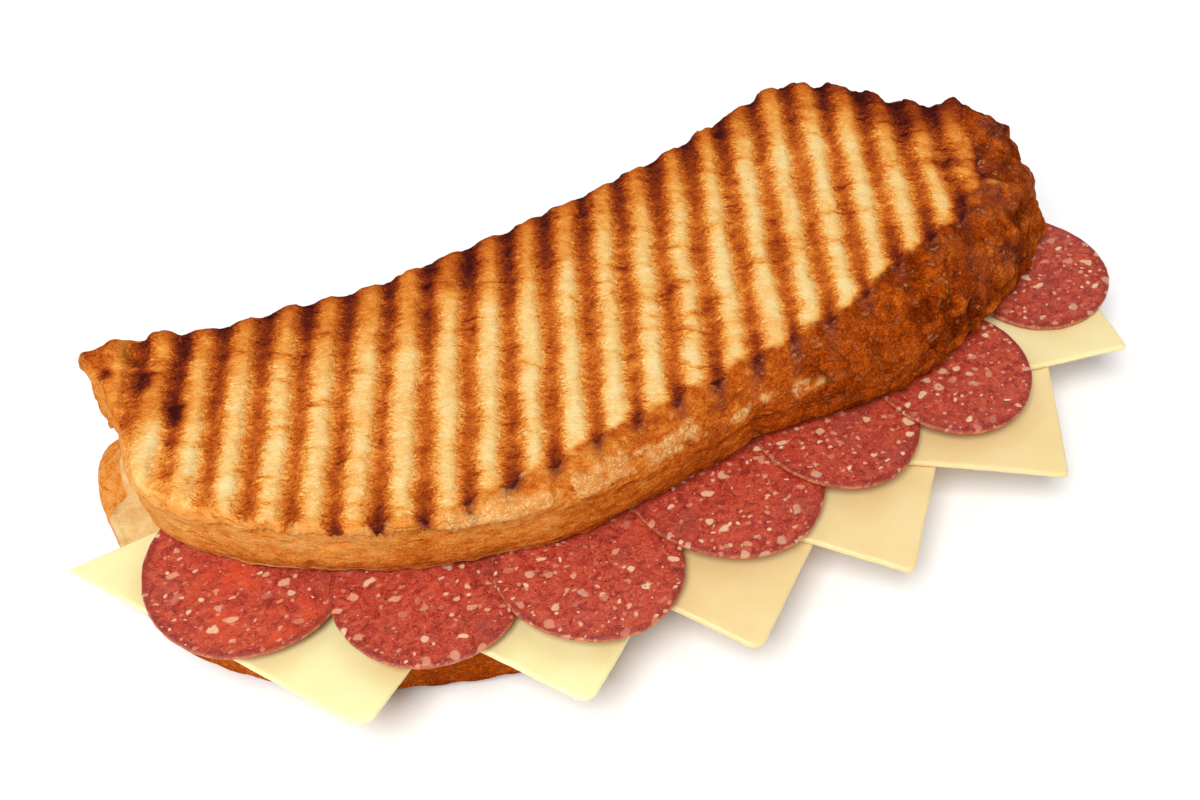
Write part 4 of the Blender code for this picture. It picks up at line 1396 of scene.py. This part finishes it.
class SandwichBread(PropertyGroup):
    """Sizes and colours of the two slices of bread."""

    rib_depth: FloatProperty(
        name="Groove depth", description="How deep the ribs of the grill pressed into the upper slice",
        unit="LENGTH", subtype="DISTANCE", default=1.3 * MM, min=0, max=4 * MM,
    )
    crumb_colour: colour_property("Pale crumb", "Crumb that the grill hardly touched", seen_as(255, 226, 160))
    golden_colour: colour_property("Golden crumb", "Crumb at the edge of a mark", seen_as(222, 124, 44))
    mark_colour: colour_property("Grill mark", "Crumb on the floor of a mark", seen_as(158, 66, 22))
    burnt_colour: colour_property("Burnt crumb", "Darkest crumb, at back and ends", seen_as(66, 22, 20))
    tan_colour: colour_property("Tan crust", "Palest crust, at the left end", seen_as(240, 170, 92))
    crust_colour: colour_property("Deep crust", "Darkest crust, at the right end", seen_as(98, 30, 2))


class SandwichCheese(PropertyGroup):
    """Colours of the cheese."""

    young_colour: colour_property("Young cheese", "The palest slices, at the left", seen_as(255, 252, 192))
    ripe_colour: colour_property("Ripe cheese", "The creamier slices", seen_as(248, 224, 164))
    last_colour: colour_property("Last cheese", "The last slice, at the right", seen_as(255, 240, 182))


class SandwichSalami(PropertyGroup):
    """Colours of the salami."""

    meat: colour_property("Meat", "Lean meat", seen_as(190, 60, 38))
    light_meat: colour_property("Light meat", "Meat mixed with fat", seen_as(216, 96, 64))
    dark_meat: colour_property("Dark meat", "Drier meat near the rim", seen_as(142, 36, 26))
    fat: colour_property("Fat", "Pieces of fat", seen_as(238, 172, 134))
    skin: colour_property("Skin", "Thin skin round the edge", seen_as(226, 128, 72))
    glow: FloatProperty(
        name="Light patch", description="How far the first slice is orange where light shines through it",
        subtype="FACTOR", default=0.7, min=0, max=1,
    )


class SandwichStage(PropertyGroup):
    """Light and floor."""

    key_power: FloatProperty(
        name="Key light", description="Power of the large light over the left front", unit="POWER",
        default=50.0, min=0,
    )
    fill_light: FloatProperty(
        name="Fill light", description="Strength of the even light from all round", default=0.42, min=0,
    )
    floor_colour: colour_property("Floor", "Plain pale floor", (0.95, 0.95, 0.95, 1.0))


class SANDWICH_OT_upper_slice(Operator):
    """Makes the upper slice of grilled bread"""

    bl_idname = "sandwich.upper_slice"
    bl_label = "Upper Slice"

    def execute(self, context):
        settings = context.scene.sandwich_bread
        piece = make_upper_slice(settings)
        material = bread_material("grilled_bread_finish", settings, shared_groups())
        stand_for(piece, "bread_top", material)
        return {"FINISHED"}


class SANDWICH_OT_lower_slice(Operator):
    """Makes the lower slice of grilled bread"""

    bl_idname = "sandwich.lower_slice"
    bl_label = "Lower Slice"

    def execute(self, context):
        settings = context.scene.sandwich_bread
        piece = make_lower_slice()
        material = bread_material("lower_bread_finish", settings, shared_groups())
        stand_for(piece, "bread_bottom", material)
        return {"FINISHED"}


class SANDWICH_OT_cheese(Operator):
    """Makes the slices of cheese"""

    bl_idname = "sandwich.cheese"
    bl_label = "Cheese Slices"

    def execute(self, context):
        settings = context.scene.sandwich_cheese
        for index, place in enumerate(CHEESE_PLACES):
            number = index + 1
            piece = make_cheese(number, place, CHEESE_LEVELS[index])
            colour = settings.young_colour if number <= 2 else settings.ripe_colour
            colour = settings.last_colour if number == len(CHEESE_PLACES) else colour
            material = cheese_material(number, tuple(colour), shared_groups())
            stand_for(piece, f"cheese_{number}", material)
        return {"FINISHED"}


class SANDWICH_OT_salami(Operator):
    """Makes the slices of salami"""

    bl_idname = "sandwich.salami"
    bl_label = "Salami Slices"

    def execute(self, context):
        settings = context.scene.sandwich_salami
        for index, place in enumerate(SALAMI_PLACES):
            number = index + 1
            piece = make_salami(number, place, SALAMI_LEVELS[index])
            material = salami_material(number, settings, shared_groups())
            stand_for(piece, f"salami_{number}", material)
        return {"FINISHED"}


class SANDWICH_OT_stage(Operator):
    """Makes the floor, the lights and the camera"""

    bl_idname = "sandwich.stage"
    bl_label = "Stage"

    def execute(self, context):
        settings = context.scene.sandwich_stage
        make_floor(settings)
        make_lights(settings)
        make_camera()
        return {"FINISHED"}


def make_floor(settings):
    """A plain square floor at z = 0."""
    corners = [(sx * FLOOR_HALF, sy * FLOOR_HALF, 0) for sx, sy in ((-1, -1), (1, -1), (1, 1), (-1, 1))]
    mesh = bpy.data.meshes.new("floor")
    mesh.from_pydata(corners, [], [(0, 1, 2, 3)])
    floor = bpy.data.objects.new("floor", mesh)
    bpy.context.scene.collection.objects.link(floor)
    material, _, shader, _ = start_material("floor_finish")
    shader["Base Color"].default_value = settings.floor_colour
    shader["Roughness"].default_value = 0.9
    floor.data.materials.append(material)


def area_light(name, place, aim, power, width):
    """A square light at a place, turned to face another."""
    data = bpy.data.lights.new(name, "AREA")
    data.energy = power
    data.size = width
    lamp = bpy.data.objects.new(name, data)
    away = np.array(aim) - np.array(place)
    lamp.location = place
    lamp.rotation_euler = (
        math.acos(-away[2] / np.linalg.norm(away)), 0, math.atan2(away[1], away[0]) - math.pi / 2,
    )
    bpy.context.scene.collection.objects.link(lamp)


def make_lights(settings):
    """A key from the left front and even light all round."""
    area_light("key", KEY_PLACE, KEY_AIM, settings.key_power, KEY_WIDTH)
    world = bpy.data.worlds.new("studio")
    world.use_nodes = True
    background = world.node_tree.nodes["Background"]
    background.inputs["Color"].default_value = (1.0, 1.0, 1.0, 1.0)
    background.inputs["Strength"].default_value = settings.fill_light
    bpy.context.scene.world = world
    bpy.context.scene.view_settings.view_transform = "Standard"


def make_camera():
    """The camera at the photograph's place, heading and lens."""
    data = bpy.data.cameras.new("camera")
    data.lens = CAMERA_LENS
    data.sensor_width = SENSOR_WIDTH
    camera = bpy.data.objects.new("camera", data)
    camera.location = CAMERA_PLACE
    camera.rotation_euler = (CAMERA_PITCH, 0, CAMERA_HEADING)
    bpy.context.scene.collection.objects.link(camera)
    bpy.context.scene.camera = camera


class SANDWICH_PT_panel(Panel):
    """The sandwich's operators and settings"""

    bl_label = "Toasted Sandwich"
    bl_idname = "SANDWICH_PT_panel"
    bl_space_type = "VIEW_3D"
    bl_region_type = "UI"
    bl_category = "Sandwich"

    def draw(self, context):
        for operator in OPERATORS:
            self.layout.operator(operator.bl_idname)
        for key, group in SETTINGS.items():
            box = self.layout.box()
            for name in group.__annotations__:
                box.prop(getattr(context.scene, key), name)


OPERATORS = (
    SANDWICH_OT_lower_slice,
    SANDWICH_OT_cheese,
    SANDWICH_OT_salami,
    SANDWICH_OT_upper_slice,
    SANDWICH_OT_stage,
)
SETTINGS = {
    "sandwich_bread": SandwichBread,
    "sandwich_cheese": SandwichCheese,
    "sandwich_salami": SandwichSalami,
    "sandwich_stage": SandwichStage,
}


def register():
    for group in SETTINGS.values():
        bpy.utils.register_class(group)
    for key, group in SETTINGS.items():
        setattr(bpy.types.Scene, key, PointerProperty(type=group))
    for operator in OPERATORS:
        bpy.utils.register_class(operator)
    bpy.utils.register_class(SANDWICH_PT_panel)


def unregister():
    bpy.utils.unregister_class(SANDWICH_PT_panel)
    for operator in reversed(OPERATORS):
        bpy.utils.unregister_class(operator)
    for key in SETTINGS:
        delattr(bpy.types.Scene, key)
    for group in SETTINGS.values():
        bpy.utils.unregister_class(group)


def main():
    register()
    bpy.ops.sandwich.lower_slice()
    bpy.ops.sandwich.cheese()
    bpy.ops.sandwich.salami()
    bpy.ops.sandwich.upper_slice()
    bpy.ops.sandwich.stage()


if __name__ == "__main__":
    main()
